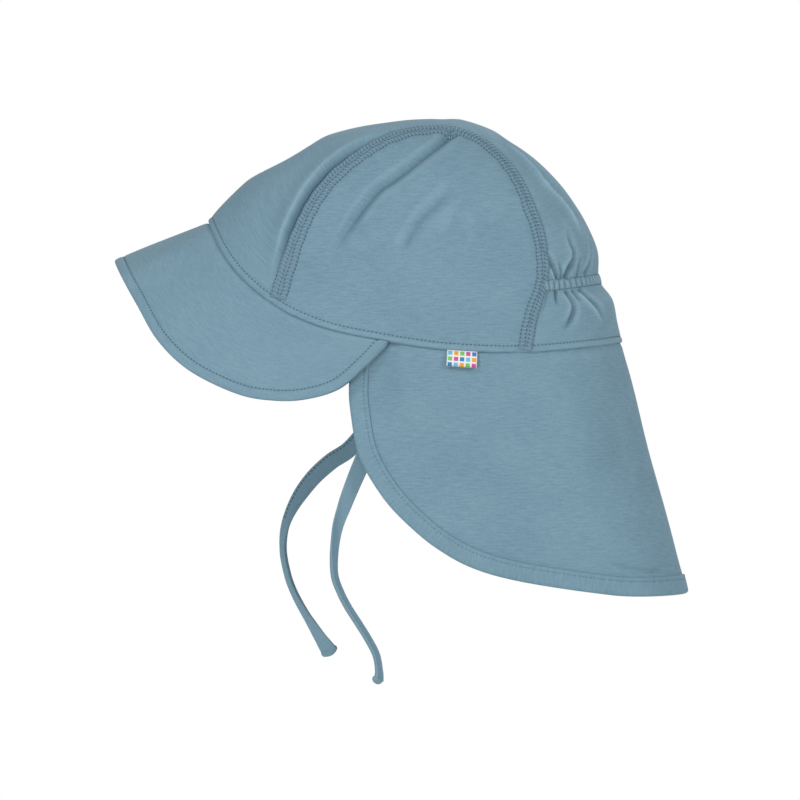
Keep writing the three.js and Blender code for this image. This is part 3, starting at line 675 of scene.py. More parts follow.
# %% Creases of the crown
# In mm: the line seen from the side, width, height and lip. Side is 1 for left and -1 for right.
# Sharp is the share of a pointed profile, skew makes one flank steeper than the other, and fades
# are the shares of the line's length in which the crease starts and ends.
CREASES = [
    {"line": [(16.7, 100), (14.2, 97), (8.2, 92), (-3.1, 83.4), (-11.8, 77), (-18.3, 72.5),
              (-25.4, 64.3), (-31.2, 56), (-36.6, 46.2), (-40.2, 38), (-42.8, 30.5)],
     "side": 1, "width": 2.6, "height": -3.6, "sharp": 0.2, "skew": 0.5, "fades": (0.06, 0.34)},
    {"line": [(9, 95), (-6, 82), (-20, 66), (-31, 48), (-36, 38)],
     "side": -1, "width": 4.6, "height": -2.6, "lip": 1.0, "sharp": 0.3},
    {"line": [(21, 73), (17, 71.4), (9.5, 64.8), (3.1, 59.1), (-1.5, 52.8), (-5.7, 45), (-9.5, 37.4)],
     "side": 1, "width": 2.6, "height": -1.3, "lip": 0.5, "sharp": 0.1, "skew": 0.5},
    {"line": [(13, 56), (19, 53), (25, 49)], "side": 1, "width": 5.0, "height": -1.0},
    {"line": [(20, 60), (6, 50), (-6, 36), (-14, 24)],
     "side": -1, "width": 5.0, "height": -1.8, "lip": 0.7, "sharp": 0.2},
    {"line": [(-11, 50), (-20.7, 42.3), (-28.5, 36)],
     "side": 1, "width": 3.6, "height": -1.0, "lip": 0.4, "sharp": 0.1, "skew": 0.4},
    {"line": [(52, 64), (44, 59), (34, 56), (24, 57)], "side": 1, "width": 6.0, "height": -1.7},
    {"line": [(-4, 74), (-14, 63), (-24, 52)], "side": 1, "width": 7.0, "height": 0.9},
    {"line": [(40, 18), (14, 12), (-14, 12), (-34, 18)],
     "side": 1, "width": 5.0, "height": -0.6, "lip": 0.3, "sharp": 0.1},
    {"line": [(46, 24), (20, 14), (-8, 15), (-30, 22)],
     "side": -1, "width": 5.5, "height": -0.8, "lip": 0.3, "sharp": 0.1},
]
# The same for the middle panel. Its lines give x too, apart from the back's fold, seen from the side.
RIDGES = [
    {"line": [(0, -80, 76), (0, -62, 88), (0, -40, 97)],
     "width": 17, "height": -5.0, "fades": (0.5, 0.5)},
    {"line": [(4, 10, 104), (5, 26, 102), (6, 44, 94)], "width": 10, "height": 1.3},
    {"line": [(35.9, 94.9), (45.1, 88.9), (53.8, 80.2), (59.3, 72.8), (67.6, 63.6), (73.1, 54.4), (77.7, 48)],
     "side": 1, "width": 1.7, "height": 2.6, "sharp": 0.6, "skew": -0.7, "fades": (0.2, 0.2)},
    {"line": [(13, 33, 99), (17, 46, 91), (19, 57, 79), (18, 69, 63), (16, 76, 50)],
     "width": 4.0, "height": -2.0, "sharp": 0.1},
    {"line": [(-12, 26, 102), (-13, 40, 96), (-13, 54, 85), (-10, 68, 68), (-8, 76, 54)],
     "width": 7.5, "height": 1.0, "sharp": 0.1},
]
# Folds beside the elastic's channel as the photograph shows them, given in the same way
GATHERED_FOLDS = [
    {"line": [(68.5, 56), (70.3, 48), (72.3, 43), (72.8, 39), (71.3, 35), (70.3, 31)],
     "width": 1.7, "height": -4.2, "lip": 1.0},
    {"line": [(58, 45), (60.7, 39.5), (63.3, 35.5), (66.3, 31)], "width": 1.4, "height": -3.0, "lip": 0.7},
    {"line": [(78.5, 50), (80.5, 44), (81.2, 38), (80.2, 33)], "width": 1.6, "height": -3.2, "lip": 0.7},
    {"line": [(65, 39), (67.5, 35), (68.5, 31)], "width": 1.0, "height": -1.9},
    {"line": [(75.5, 42), (76.5, 36), (77, 32)], "width": 1.1, "height": -2.2},
    {"line": [(65.7, 26), (65.2, 22), (64.7, 17)], "width": 1.2, "height": -2.2},
    {"line": [(70.3, 26), (71.9, 21), (72.4, 17), (70.9, 12), (68.4, 8), (65.4, 5)],
     "width": 1.7, "height": -3.0, "lip": 0.8},
    {"line": [(74, 26), (75.3, 22), (76.3, 19)], "width": 1.1, "height": -2.0},
    {"line": [(77.2, 27), (80, 22), (83.2, 17), (85.7, 12), (86.7, 8)],
     "width": 2.0, "height": -4.0, "lip": 1.1},
    {"line": [(61, 26), (60, 21), (58, 14), (55.5, 8)], "width": 2.2, "height": -1.0},
]
# Each fold runs up or down from the channel's row of stitches, and is deepest there
CHANNEL_LEVEL = 28  # mm
for fold in GATHERED_FOLDS:
    starts_below = fold["line"][0][1] < CHANNEL_LEVEL
    fold.update(side=1, sharp=0.45, fades=(0.04, 0.55) if starts_below else (0.55, 0.04))
CREASE_STEPS = 90
CREASE_REACH = 4  # widths beyond which a crease is too low to count
LONG_TAIL = 2.2  # how fast a pointed profile falls away
FADE_SHARE = 0.3  # of a crease's length at each end


def crease_line(crease):
    line = np.array(crease["line"], float) * MM
    if line.shape[1] == 3:
        return smooth_curve(onto_crown(line), CREASE_STEPS)
    y, z = line.T
    return smooth_curve(form_point(angle_of(y, z), z) * [crease["side"], 1, 1], CREASE_STEPS)


def crease_relief(points, crease):
    """Height that one crease gives to each point."""
    line = crease_line(crease)
    reach = CREASE_REACH * crease["width"] * MM
    box = np.all((points > line.min(0) - reach) & (points < line.max(0) + reach), axis=1)
    relief = np.zeros(len(points))
    if not box.any():
        return relief
    offset = points[box][:, None] - line[None]
    distances = np.linalg.norm(offset, axis=2)
    index = distances.argmin(1)
    nearest = np.arange(len(index)), index
    sideways = np.cross(tangents(line), from_centre(line))[index]
    across = (offset[nearest] * sideways).sum(1)
    share = index / (CREASE_STEPS - 1)
    fade_from, fade_to = crease.get("fades", (FADE_SHARE, FADE_SHARE))
    fade = fade_in(share, 0, fade_from) * (1 - fade_in(share, 1 - fade_to, 1))
    skew = crease.get("skew", 0)
    width = crease["width"] * MM * np.where(across > 0, 1 - 0.6 * skew, 1 + 0.7 * skew)
    soft, pointed = hump(distances[nearest], width), np.exp(-LONG_TAIL * distances[nearest] / width)
    sharp = crease.get("sharp", 0)
    profile = crease["height"] * ((1 - sharp) * soft + sharp * pointed)
    lip_width = crease["width"] * MM
    profile += crease.get("lip", 0) * hump(across - (1.8 - 0.5 * skew) * lip_width, lip_width)
    relief[box] = profile * fade * MM
    return relief


ALL_CREASES = CREASES + RIDGES + GATHERED_FOLDS
print(len(ALL_CREASES), "creases and ridges")

# %% [markdown]
# Elastic in a stitched channel draws the back of the middle panel in. The cloth is longer than
# the elastic, so it stands in small folds that start at the channel's stitching and fan out above
# and below it. The folds that the photograph shows are in the table above. These are the others,
# which go on round the back, out of its sight, in the same uneven rhythm.

# %% Gathers at the back
CASING_Z, CASING_SEAM_Y, CASING_SLOPE = 27.1 * MM, 57.4 * MM, 0.15
CASING_HALF = 2.4 * MM  # from the middle of the channel to its stitching
CASING_PINCH, CASING_PINCH_REACH = 4.2 * MM, 9 * MM
BACK_RADIUS = 76 * MM  # turns angles round the back into distances
GATHER_FRONT = 20 * MM  # no gather lies in front of this
GATHER_WIDTH, GATHER_SPREAD = 1.1 * MM, 0.09  # of a fold at the channel, and how it widens
SWELL_BELOW, SWELL_PLACE, SWELL_REACH = 0.6 * MM, 8 * MM, 6 * MM  # of the cloth under the channel
# Degrees from the middle of the back, the fold's length in mm and lean above the channel, the same
# below it, and its depth in mm
GATHERS = np.array([
    (3, 15, 0.05, 8, 0.2, 1.3), (-3, 9, 0.2, 15, 0.1, 1.1), (-8.5, 13, -0.1, 8, -0.1, 1.2),
    (-14, 19, -0.15, 16, 0.2, 1.9), (-19.5, 8, 0.1, 8, 0.0, 0.9), (-25, 15, 0.1, 18, 0.35, 1.7),
    (-31, 9, -0.1, 8, -0.1, 1.0), (-37, 18, -0.1, 12, 0.2, 1.8), (-43, 8, 0.1, 17, 0.3, 1.4),
    (-48, 12, 0.3, 8, 0.2, 1.1),
])


def above_casing(points):
    return points[..., 2] - CASING_Z - CASING_SLOPE * (points[..., 1] - CASING_SEAM_Y)


def back_degrees(points):
    """Degrees round the back from its middle, positive on the left side."""
    angle = angle_to(points)
    return np.degrees(np.where(angle >= 0, math.pi - angle, -math.pi - angle))


def seam_degrees(z):
    """Degrees from the middle of the back at which the panel seam runs, at each height."""
    back = SEAM[SEAM[:, 1] > 40 * MM][::-1]
    return np.interp(z, back[:, 2], back_degrees(back))


def gather_relief(points):
    behind = points[:, 1] > GATHER_FRONT
    relief = np.zeros(len(points))
    spot = points[behind]
    height = above_casing(spot)
    degrees = back_degrees(spot)
    inside = 1 - np.clip(np.abs(degrees) / np.maximum(seam_degrees(spot[:, 2]), 1), 0, 1) ** 6
    past_row = np.maximum(0, np.abs(height) - CASING_HALF)
    total = SWELL_BELOW * hump(past_row - SWELL_PLACE, SWELL_REACH) * (height < -CASING_HALF)
    for middle, length_up, lean_up, length_down, lean_down, depth in GATHERS:
        length = np.where(height > 0, length_up, length_down) * MM
        lean = np.where(height > 0, lean_up, lean_down)
        across = np.radians(degrees - middle) * BACK_RADIUS - lean * past_row
        width = GATHER_WIDTH + GATHER_SPREAD * past_row
        reach = (1 - fade_in(past_row, 0.35 * length, length)) * fade_in(past_row, -1 * MM, 1.5 * MM)
        total -= depth * MM * hump(across, width) * reach
    pinch = CASING_PINCH * hump(height, CASING_PINCH_REACH)
    relief[behind] = (total - pinch) * inside
    return relief


print(len(GATHERS), "gathers")

# %% [markdown]
# The last small shapes follow the stitching. Beside a seam the cloth is drawn down and puckers a
# little. Along the rim the seam allowance is turned up inside and topstitched 3 mm above, so the
# cloth swells between the stitches and the edge. Slow unevenness over the whole crown comes from
# smooth noise, which gives the same values on each run.

# %% Surface of the crown
TOPSTITCH_ABOVE_RIM = 3.0 * MM
SEAM_BAND_HALF = 3.0 * MM
# Beside the seams the cloth is drawn down, and puckers in waves that drift in length
DRAWN_DOWN, DRAWN_REACH = 0.35 * MM, 2.2 * MM
PUCKER_HEIGHT, PUCKER_PLACE, PUCKER_REACH = 0.16 * MM, 1.5 * MM, 3.0 * MM
PUCKER_WAVE, PUCKER_DRIFT = 1.5 * MM, 7 * MM
# Along the rim: the groove under its stitches, the swell below them, and the edge that turns in
GROOVE_DEPTH, GROOVE_REACH = 0.28 * MM, 0.55 * MM
RIM_SWELL, RIM_SWELL_PLACE, RIM_SWELL_REACH = 0.25 * MM, 1.4 * MM, 1.1 * MM
TURNED_IN, TURNED_IN_REACH = 0.45 * MM, 0.4 * MM
# The cloth rolled up beside the front seam: its crest's distance from the seam, height and slopes
ROLL_NEAR, ROLL_FAR, ROLL_HEIGHT = 6.0 * MM, 7.8 * MM, 3.3 * MM
ROLL_STEEP, ROLL_GENTLE = 1.5 * MM, 6.0 * MM
ROLL_LEAN, ROLL_LEAN_REACH = 1.2 * MM, 1.8 * MM
ROLL_VALLEY, ROLL_VALLEY_PLACE, ROLL_VALLEY_REACH = 2.0 * MM, 4.6 * MM, 1.1 * MM
ROLL_PAINTED_HIGHLIGHT = 0.35  # how strongly a painted highlight lightens its crest


def soft_noise(points, size, height):
    """Smooth unevenness with bumps about the given size."""
    scaled = (points / size).tolist()
    return height * np.array([noise.noise(point) for point in scaled])


def roll_beside_seam(points, share):
    """Where the crest of the roll lies, and how much of the roll there is at each point."""
    rolled = fade_in(share, 0.03, 0.15) * (1 - fade_in(share, 0.3, 0.43))
    rolled = rolled * np.where(points[:, 0] > 0, 1.0, 0.6) * (1 - 0.3 * fade_in(share, 0.2, 0.4))
    return ROLL_NEAR + (ROLL_FAR - ROLL_NEAR) * fade_in(share, 0.15, 0.4), rolled


def roll_lean(points, distance, share):
    """Sideways moves that let the roll's crest hang over the valley beside the seam."""
    crest, rolled = roll_beside_seam(points, share)
    index = np.minimum(np.round(share * SEAM_STEPS).astype(int), SEAM_STEPS - 1)
    towards_seam = -SEAM_SIDEWAYS[index] * np.where(points[:, :1] > 0, 1.0, MIRROR)
    return towards_seam * (ROLL_LEAN * rolled * hump(distance - crest, ROLL_LEAN_REACH))[:, None]


def seam_relief(points, distance, share):
    away = np.maximum(0, np.abs(distance) - SEAM_BAND_HALF)
    along = share * lengths_along(SEAM)[-1]
    pucker = np.sin(along / PUCKER_WAVE + 2.0 * np.sin(along / PUCKER_DRIFT))
    side_shift = np.where(distance > 0, 1.0, -1.0)
    drawn = -DRAWN_DOWN * hump(away, DRAWN_REACH)
    puckers = PUCKER_HEIGHT * pucker * side_shift * hump(away - PUCKER_PLACE, PUCKER_REACH)
    crest, rolled = roll_beside_seam(points, share)
    side_of_crest = np.where(distance < crest, ROLL_STEEP, ROLL_GENTLE)
    roll = ROLL_HEIGHT * rolled * hump(distance - crest, side_of_crest)
    valley = -ROLL_VALLEY * rolled * hump(distance - ROLL_VALLEY_PLACE, ROLL_VALLEY_REACH)
    return drawn + puckers + roll + valley


def rim_relief(points):
    height, _ = above_rim(points)
    groove = -GROOVE_DEPTH * hump(height - TOPSTITCH_ABOVE_RIM, GROOVE_REACH)
    swell = RIM_SWELL * hump(height - RIM_SWELL_PLACE, RIM_SWELL_REACH)
    turned_in = -TURNED_IN * hump(height, TURNED_IN_REACH)
    return groove + swell + turned_in


def crown_surface(points):
    """Where the worn cloth lies for points on or near the crown."""
    flat = onto_crown(points.reshape(-1, 3))
    relief = sum(crease_relief(flat, crease) for crease in ALL_CREASES)
    distance, share = beside_seam(flat)
    relief = relief + gather_relief(flat) + seam_relief(flat, distance, share) + rim_relief(flat)
    relief = relief + soft_noise(flat, 34 * MM, 0.7 * MM) + soft_noise(flat + 1, 13 * MM, 0.16 * MM)
    surface = flat + from_centre(flat) * relief[:, None] + roll_lean(flat, distance, share)
    return surface.reshape(points.shape)


# %% [markdown]
# A panel is a patch between four edges. The Coons patch fills it smoothly: it adds the two ways
# of joining opposite edges by straight lines and takes away what they share. The rows lie closer
# together along the rim, where the topstitching makes a fine groove.

# %% Crown panels
CROWN_WALL = 1.3 * MM
SIDE_ROWS, SIDE_COLUMNS, MIDDLE_COLUMNS = 130, 200, 210
MIDDLE_CLOSER = 0.4  # how much closer the middle panel's columns lie at its edges
SIDE_HEIGHT = 95 * MM  # of a side panel, about
SIDE_PAINTED_SHADE, SIDE_PAINTED_HIGHLIGHT = 1.5, 0.15  # how strongly painted shade darkens its creases, and how far painted highlight lightens its ridges
ROLL_PAINTED_HIGHLIGHT_SHIFT, ROLL_PAINTED_HIGHLIGHT_REACH = 0.4 * MM, 0.7 * MM  # of the painted highlight line on the roll's crest
GATHERED_LENGTH, GATHERED_ROW, PLAIN_ROW = 48 * MM, 0.8 * MM, 1.9 * MM
SEAM_SHARES = (13 / 46, 33 / 46)  # where the seam turns from front edge to top, and to back edge
RIM_ROWS = MM * np.array([0, 0.4, 0.8, 1.2, 1.6, 2.0, 2.4, 2.7, 3.0, 3.3, 3.6, 4.0, 4.6, 5.4])


def coons(top, bottom, left, right, down, across):
    """Grid of points between four edges, at shares down and across."""
    v, u = down[:, None, None], across[None, :, None]
    ruled = (1 - v) * top[None] + v * bottom[None] + (1 - u) * left[:, None] + u * right[:, None]
    corners = (1 - v) * ((1 - u) * top[0] + u * top[-1]) + v * ((1 - u) * bottom[0] + u * bottom[-1])
    return ruled - corners


def panel_rows(count, height):
    """Shares down a panel, with close rows at the rim."""
    close = 1 - RIM_ROWS / height
    wide = np.linspace(0, close[-1], count, endpoint=False)
    return np.concatenate([wide, close[::-1]])


def cloth_uv(grid):
    """Distances across and down a grid, measured on its middle row and middle column."""
    across = lengths_along(grid[grid.shape[0] // 2])
    down = -lengths_along(grid[:, grid.shape[1] // 2])
    return np.stack(np.meshgrid(across, down), axis=-1)


def side_panel_grid():
    front, back = SEAM_SHARES
    down = panel_rows(SIDE_ROWS, SIDE_HEIGHT)
    across = np.linspace(0, 1, SIDE_COLUMNS)
    top = at_shares(SEAM, front + (back - front) * across)
    left, right = at_shares(SEAM, front * (1 - down)), at_shares(SEAM, back + (1 - back) * down)
    bottom = rim_at(FRONT_SEAM_ANGLE + (BACK_SEAM_ANGLE - FRONT_SEAM_ANGLE) * across)
    return onto_crown(coons(top, bottom, left, right, down, across))


def middle_panel_grid():
    """Seen from above with the front at the bottom: from the back rim over the top to the front."""
    length = lengths_along(SEAM)[-1]
    gathered = np.arange(RIM_ROWS[-1] + GATHERED_ROW, GATHERED_LENGTH, GATHERED_ROW)
    plain_rows = np.arange(GATHERED_LENGTH, length - RIM_ROWS[-1] - PLAIN_ROW / 2, PLAIN_ROW)
    down = np.concatenate([RIM_ROWS, gathered, plain_rows, length - RIM_ROWS[::-1]]) / length
    even = np.linspace(0, 1, MIDDLE_COLUMNS)
    across = even - MIDDLE_CLOSER * np.sin(2 * math.pi * even) / (2 * math.pi)
    right = at_shares(SEAM, 1 - down)
    left = right * MIRROR
    half_turn = math.pi
    top = rim_at(half_turn + (half_turn - BACK_SEAM_ANGLE) * (1 - 2 * across))
    bottom = rim_at(FRONT_SEAM_ANGLE * (2 * across - 1))
    return onto_crown(coons(top, bottom, left, right, down, across))


side_flat = side_panel_grid()
middle_flat = middle_panel_grid()
for side_name, flat_grid in (("left", side_flat), ("right", side_flat[:, ::-1] * MIRROR)):
    grid = crown_surface(flat_grid)
    uv = np.stack([flat_grid[..., 1], flat_grid[..., 2]], axis=-1)
    inwards = -from_centre(flat_grid)
    # Painted shade in the side panel's creases and painted highlight on its ridges
    hollow = np.clip(SIDE_PAINTED_SHADE * hollows(grid), -SIDE_PAINTED_HIGHLIGHT, 1)
    panel = cloth_wall(f"side_panel_{side_name}_cloth", grid, CROWN_WALL, uv, inwards=inwards, hollow=hollow)
    keep(panel, "jersey", f"side_panel_{side_name}")
middle_grid = crown_surface(middle_flat)


def middle_painted_shading():
    """Painted shading of the middle panel: painted shade in its creases, and beside each front seam a thin
    painted highlight on the roll's crest and painted shade in the valley below it.
    """
    points = middle_flat.reshape(-1, 3)
    distance, share = beside_seam(points)
    crest, rolled = roll_beside_seam(points, share)
    # Painted shade in the valley beside the seam, and a painted highlight line on the roll's crest
    valley = hump(distance - ROLL_VALLEY_PLACE, 0.8 * ROLL_VALLEY_REACH)
    line = ROLL_PAINTED_HIGHLIGHT * hump(distance - crest - ROLL_PAINTED_HIGHLIGHT_SHIFT, ROLL_PAINTED_HIGHLIGHT_REACH)
    beside = rolled * (1 - fade_in(distance, crest + 2 * MM, crest + 5 * MM))
    elsewhere = hollows(middle_grid).ravel() * (1 - beside) * fade_in(points[:, 1], 12 * MM, 30 * MM)
    return np.clip(elsewhere + rolled * (valley - line), -1, 1).reshape(middle_flat.shape[:2])


middle_panel = cloth_wall(
    "middle_panel_cloth", middle_grid, CROWN_WALL, cloth_uv(middle_flat), inwards=-from_centre(middle_flat),
    hollow=middle_painted_shading(),
)
keep(middle_panel, "jersey", "middle_panel")

# %% [markdown]
# The panels are joined by flatlock seams: their edges overlap in a flat band, and looping threads
# hold it. On the outside they show as two ladders of short light rungs beside each other, with a
# dotted row of needle stitches along both edges and another on each side of the middle. The band
# is a low ridge of cloth, and each rung and each needle stitch is a stitch of its own.

# %% Flatlock seams
BAND_STEPS = 420
STRIP_WALL, STRIP_ROUNDNESS = 0.5 * MM, 0.1  # of the thin strips that lie on the panels
BAND_SHARES = (0.0145, 0.996)  # in front it ends at the rim's topstitching
# Distance from the seam and height over the cloth, across the band, in mm
BAND_SECTION = MM * np.array([
    (-3.25, -0.5), (-3.15, 0.2), (-2.9, 0.46), (-2.5, 0.5), (-1.9, 0.42), (-1.2, 0.42), (-0.6, 0.46),
    (-0.25, 0.34), (0, 0.26), (0.25, 0.34), (0.6, 0.46), (1.2, 0.42), (1.9, 0.42), (2.5, 0.5), (2.9, 0.46),
    (3.15, 0.2), (3.25, -0.5),
])
LADDER_PITCH, LADDER_ROW = 1.8 * MM, 1.62 * MM
RUNG_LENGTH, RUNG_THREAD, RUNG_LEAN = 1.95 * MM, 0.62 * MM, 0.4
NEEDLE_ROW, NEEDLE_LENGTH, NEEDLE_THREAD = 2.95 * MM, 0.95 * MM, 0.52 * MM
INNER_ROW, INNER_LENGTH = 0.68 * MM, 0.85 * MM
RUNG_HEIGHT, NEEDLE_HEIGHT, INNER_HEIGHT = 0.55 * MM, 0.42 * MM, 0.46 * MM  # over the cloth
BAND_SCALE, TOP_EXTRA = 1.05, 0.3  # of the section's width, and how much wider it lies over the top
TOP_SHARE, TOP_SPREAD = 0.45, 0.15


def seam_strip(offsets, shares):
    """Cloth surface beside the left seam: rows along it at the given shares, columns across it."""
    index = np.clip(np.round(shares * (SEAM_STEPS - 1)).astype(int), 0, SEAM_STEPS - 1)
    widening = BAND_SCALE + TOP_EXTRA * hump(shares - TOP_SHARE, TOP_SPREAD)
    across = widening[:, None, None] * offsets[None, :, None]
    near = at_shares(SEAM, shares)[:, None] + SEAM_SIDEWAYS[index][:, None] * across
    return crown_surface(onto_crown(near))


def outward_normals(grid):
    normals = grid_normals(grid)
    return normals * np.sign((normals * from_centre(grid)).sum())


def facing_out(grid):
    """The same grid with its columns turned round if it faced inwards."""
    outward = (grid_normals(grid) * from_centre(grid)).sum() > 0
    return grid if outward else grid[:, ::-1]


def flatlock_band(side_name, mirror):
    cloth = seam_strip(BAND_SECTION[:, 0], np.linspace(*BAND_SHARES, BAND_STEPS))
    normals = outward_normals(cloth)
    band = facing_out((cloth + normals * BAND_SECTION[:, 1][None, :, None]) * mirror)
    strip = cloth_wall(
        f"flatlock_band_{side_name}", band, STRIP_WALL, cloth_uv(band), STRIP_ROUNDNESS
    )
    keep(strip, "jersey")


def seam_stitches(name, mirror, offsets, height, lean, shift, length, thread, across):
    """Rows of stitches at offsets from the seam, lying across it or along it."""
    pitches = int(lengths_along(SEAM)[-1] / LADDER_PITCH)
    shares = (np.arange(3, pitches - 1) + shift) / pitches
    strip = seam_strip(np.array(offsets), shares)
    fine = seam_strip(np.array([-1.0, 1.0]) * MM, shares)
    sideways = unit(fine[:, 1] - fine[:, 0])
    ahead = tangents(strip[:, 0])
    upwards = unit(np.cross(sideways, ahead))
    upwards *= np.sign((upwards * from_centre(strip[:, 0])).sum())
    points, faces = [], []
    for column, offset in enumerate(offsets):
        way = sideways + ahead * lean * np.sign(offset) if across else ahead
        centres = strip[:, column] + upwards * height
        part, part_faces = sewn_stitches(
            centres * mirror, unit(way) * mirror, upwards * mirror, length, thread
        )
        base = sum(len(before) for before in points)
        points.append(part)
        faces += [[corner + base for corner in face] for face in part_faces]
    return thread_piece(name, np.vstack(points), faces)


for side_name, mirror in (("left", np.ones(3)), ("right", MIRROR)):
    flatlock_band(side_name, mirror)
    seam_stitches(
        f"flatlock_rungs_{side_name}", mirror, [-LADDER_ROW, LADDER_ROW], RUNG_HEIGHT, RUNG_LEAN, 0.0,
        RUNG_LENGTH, RUNG_THREAD, True,
    )
    # The needle stitches are real stitches, and their dark thread is painted shade of their needle holes
    seam_stitches(
        f"flatlock_needle_rows_{side_name}", mirror, [-NEEDLE_ROW, NEEDLE_ROW], NEEDLE_HEIGHT, 0.0, 0.5,
        NEEDLE_LENGTH, NEEDLE_THREAD, False,
    )
    seam_stitches(
        f"flatlock_inner_stitches_{side_name}", mirror, [-INNER_ROW, INNER_ROW], INNER_HEIGHT, 0.0, 0.3,
        INNER_LENGTH, NEEDLE_THREAD, False,
    )

# %% [markdown]
# The rim's topstitching runs 3 mm above the edge all the way round. The elastic's channel has two
# rows of its own, and between them the cloth is crowded into fine upright pleats, which need a
# finer mesh than the panel, so the channel is a strip of its own over the panel.

# %% Rim stitching and the gathered channel
CHANNEL_COLUMNS = 420
CHANNEL_ROWS = 13
CHANNEL_PASSES = 12  # of the search for its sloping height
CHANNEL_OVERLAP = 1.12  # how far it goes beyond its stitching
CHANNEL_TRIM, CHANNEL_STITCH_TRIM, ELASTIC_TRIM = 1.5, 1.0, 3  # degrees short of the panel seam
CHANNEL_STITCH_STEPS = 240
PLEAT_PITCH, PLEAT_SPREAD = 2.45 * MM, 0.6  # at the sides, and how much closer than in the middle
# The pleats' height, and how strong the painted shade between them and the painted highlight on their crests
# are
PLEAT_HEIGHT, PLEAT_PAINTED_SHADE, PLEAT_PAINTED_HIGHLIGHT = 0.6 * MM, 0.9, 0.3
PLEAT_DRIFTS = 4.3 * MM, 9.7 * MM  # lengths over which the pleats' rhythm varies


def rim_topstitch():
    place = crown_surface(onto_crown(RIM + RIM_UPWARDS * TOPSTITCH_ABOVE_RIM))
    closed = np.vstack([place, place[:1]])
    return topstitch("rim_topstitch", closed, from_centre(closed))


def channel_place(degrees, height):
    """Cloth at places along and across the elastic's channel, at the back."""
    angle = math.pi - np.radians(degrees)
    z = np.full(np.broadcast(degrees, height).shape, CASING_Z)
    for _ in range(CHANNEL_PASSES):
        y = form_point(angle, z)[..., 1]
        z = CASING_Z + CASING_SLOPE * (y - CASING_SEAM_Y) + height
    return form_point(angle, z)


def channel_degrees(trim, count):
    """Equal steps along the channel, from a little short of one panel seam to the other."""
    reach = float(seam_degrees(CASING_Z)) - trim
    return np.linspace(reach, -reach, count)


def channel_strip():
    degrees = channel_degrees(CHANNEL_TRIM, CHANNEL_COLUMNS)[None, :]
    height = np.linspace(1, -1, CHANNEL_ROWS)[:, None] * CASING_HALF * CHANNEL_OVERLAP
    cloth = crown_surface(channel_place(degrees, height))
    steps = np.diff(cloth[CHANNEL_ROWS // 2], axis=0, prepend=cloth[CHANNEL_ROWS // 2, :1])
    along = np.cumsum(np.maximum(np.abs(steps[:, 1]), PLEAT_SPREAD * np.linalg.norm(steps, axis=1)))[None]
    fast, slow = PLEAT_DRIFTS
    uneven = 0.9 * np.sin(along / fast) + 0.6 * np.sin(along / slow + 1)
    pleats = 2 * np.abs(np.sin(math.pi * along / PLEAT_PITCH + uneven / 2)) ** 0.5 - 1
    swell = np.clip(1 - (height / CASING_HALF) ** 2, 0, 1) ** 0.5
    # It bulges between its two rows of stitches, and its edges dip into the panel
    lift = (0.3 * MM + PLEAT_HEIGHT * (pleats - 0.2)) * swell + 0.1 * MM - 0.5 * MM * (swell == 0)
    surface = cloth + outward_normals(cloth) * lift[..., None]
    grid = facing_out(surface)
    # Painted shade in the pleats' valleys and painted highlight on their crests, between the rows of stitches
    hollow = np.clip(PLEAT_PAINTED_SHADE * (0.3 - pleats), -PLEAT_PAINTED_HIGHLIGHT, 1) * swell
    hollow = hollow if grid is surface else hollow[:, ::-1]
    strip = cloth_wall(
        "gathered_channel", grid, STRIP_WALL, cloth_uv(grid), STRIP_ROUNDNESS, hollow=hollow
    )
    return keep(strip, "jersey")


def channel_stitches():
    degrees = channel_degrees(CHANNEL_STITCH_TRIM, CHANNEL_STITCH_STEPS)
    for row_name, height in (("upper", CASING_HALF), ("lower", -CASING_HALF)):
        line = crown_surface(channel_place(degrees, np.full(CHANNEL_STITCH_STEPS, height)))
        topstitch(f"channel_stitch_{row_name}", line, from_centre(line), pitch=1.8 * MM, length=1.05 * MM)


rim_topstitch()
channel_strip()
channel_stitches()

# %% [markdown]
# The peak is two layers of jersey, sewn together, turned and topstitched 4.5 mm inside the edge.
# Straight lines from the rim to the edge make its arched shape, as a paper pattern would.

# %% Peak
# In mm: y of each line's start on the rim, and x, y and z of its end on the peak's edge
PEAK_LINES = MM * np.array([
    (-96.3, 0, -139.0, 38.6), (-94.5, 27, -135.6, 31.6), (-90.6, 41.5, -128.6, 19.0),
    (-82.2, 55, -118.8, 2.4), (-70.5, 63.5, -104.0, -11.5), (-58.7, 68, -82.0, -22.2),
    (-50.0, 69.6, -65.0, -25.2), (-41.1, 70.4, -50.6, -24.4), (-30.0, 70.6, -36.0, -19.8),
    (-21.0, 69.8, -24.2, -10.0), (-15.6, 68.4, -16.4, -2.0), (-12.6, 66.9, -12.5, 1.6),
    (-10.6, 65.6, -10.4, 3.6),
])
PEAK_COLUMNS = 300
PEAK_WALL = 2.2 * MM
PEAK_STITCH = 4.5 * MM
PEAK_REACH, PEAK_CROWNING = 46 * MM, 0.7 * MM
PEAK_END_NARROW, PEAK_END_WIDE = 4 * MM, 14 * MM
PEAK_TUCK = MM * np.array([3.0, 1.8, 0.8, 0.0])  # how far its first rows go up behind the crown
PEAK_ROWS = np.concatenate([np.linspace(0, 0.84, 34), np.linspace(0.855, 1, 17)])
# Depths and reaches of the groove under its stitches and of the hollows at its edge and at the rim
PEAK_GROOVE, PEAK_GROOVE_REACH = 0.3 * MM, 0.6 * MM
PEAK_SWELL, PEAK_SWELL_START = 0.25 * MM, 3.4 * MM  # of the seam allowance inside the edge
PEAK_EDGE, PEAK_EDGE_REACH = 0.45 * MM, 0.7 * MM
PEAK_RIM, PEAK_RIM_REACH = 0.25 * MM, 0.8 * MM


def peak_edges():
    rim_y, edge = PEAK_LINES[:, 0], PEAK_LINES[:, 1:]
    angle = rim_angle(rim_y)
    rim = rim_at(np.concatenate([-angle[:0:-1], angle]))
    edges = np.vstack([edge[:0:-1] * MIRROR, edge])
    return spline(rim), spline(edges)


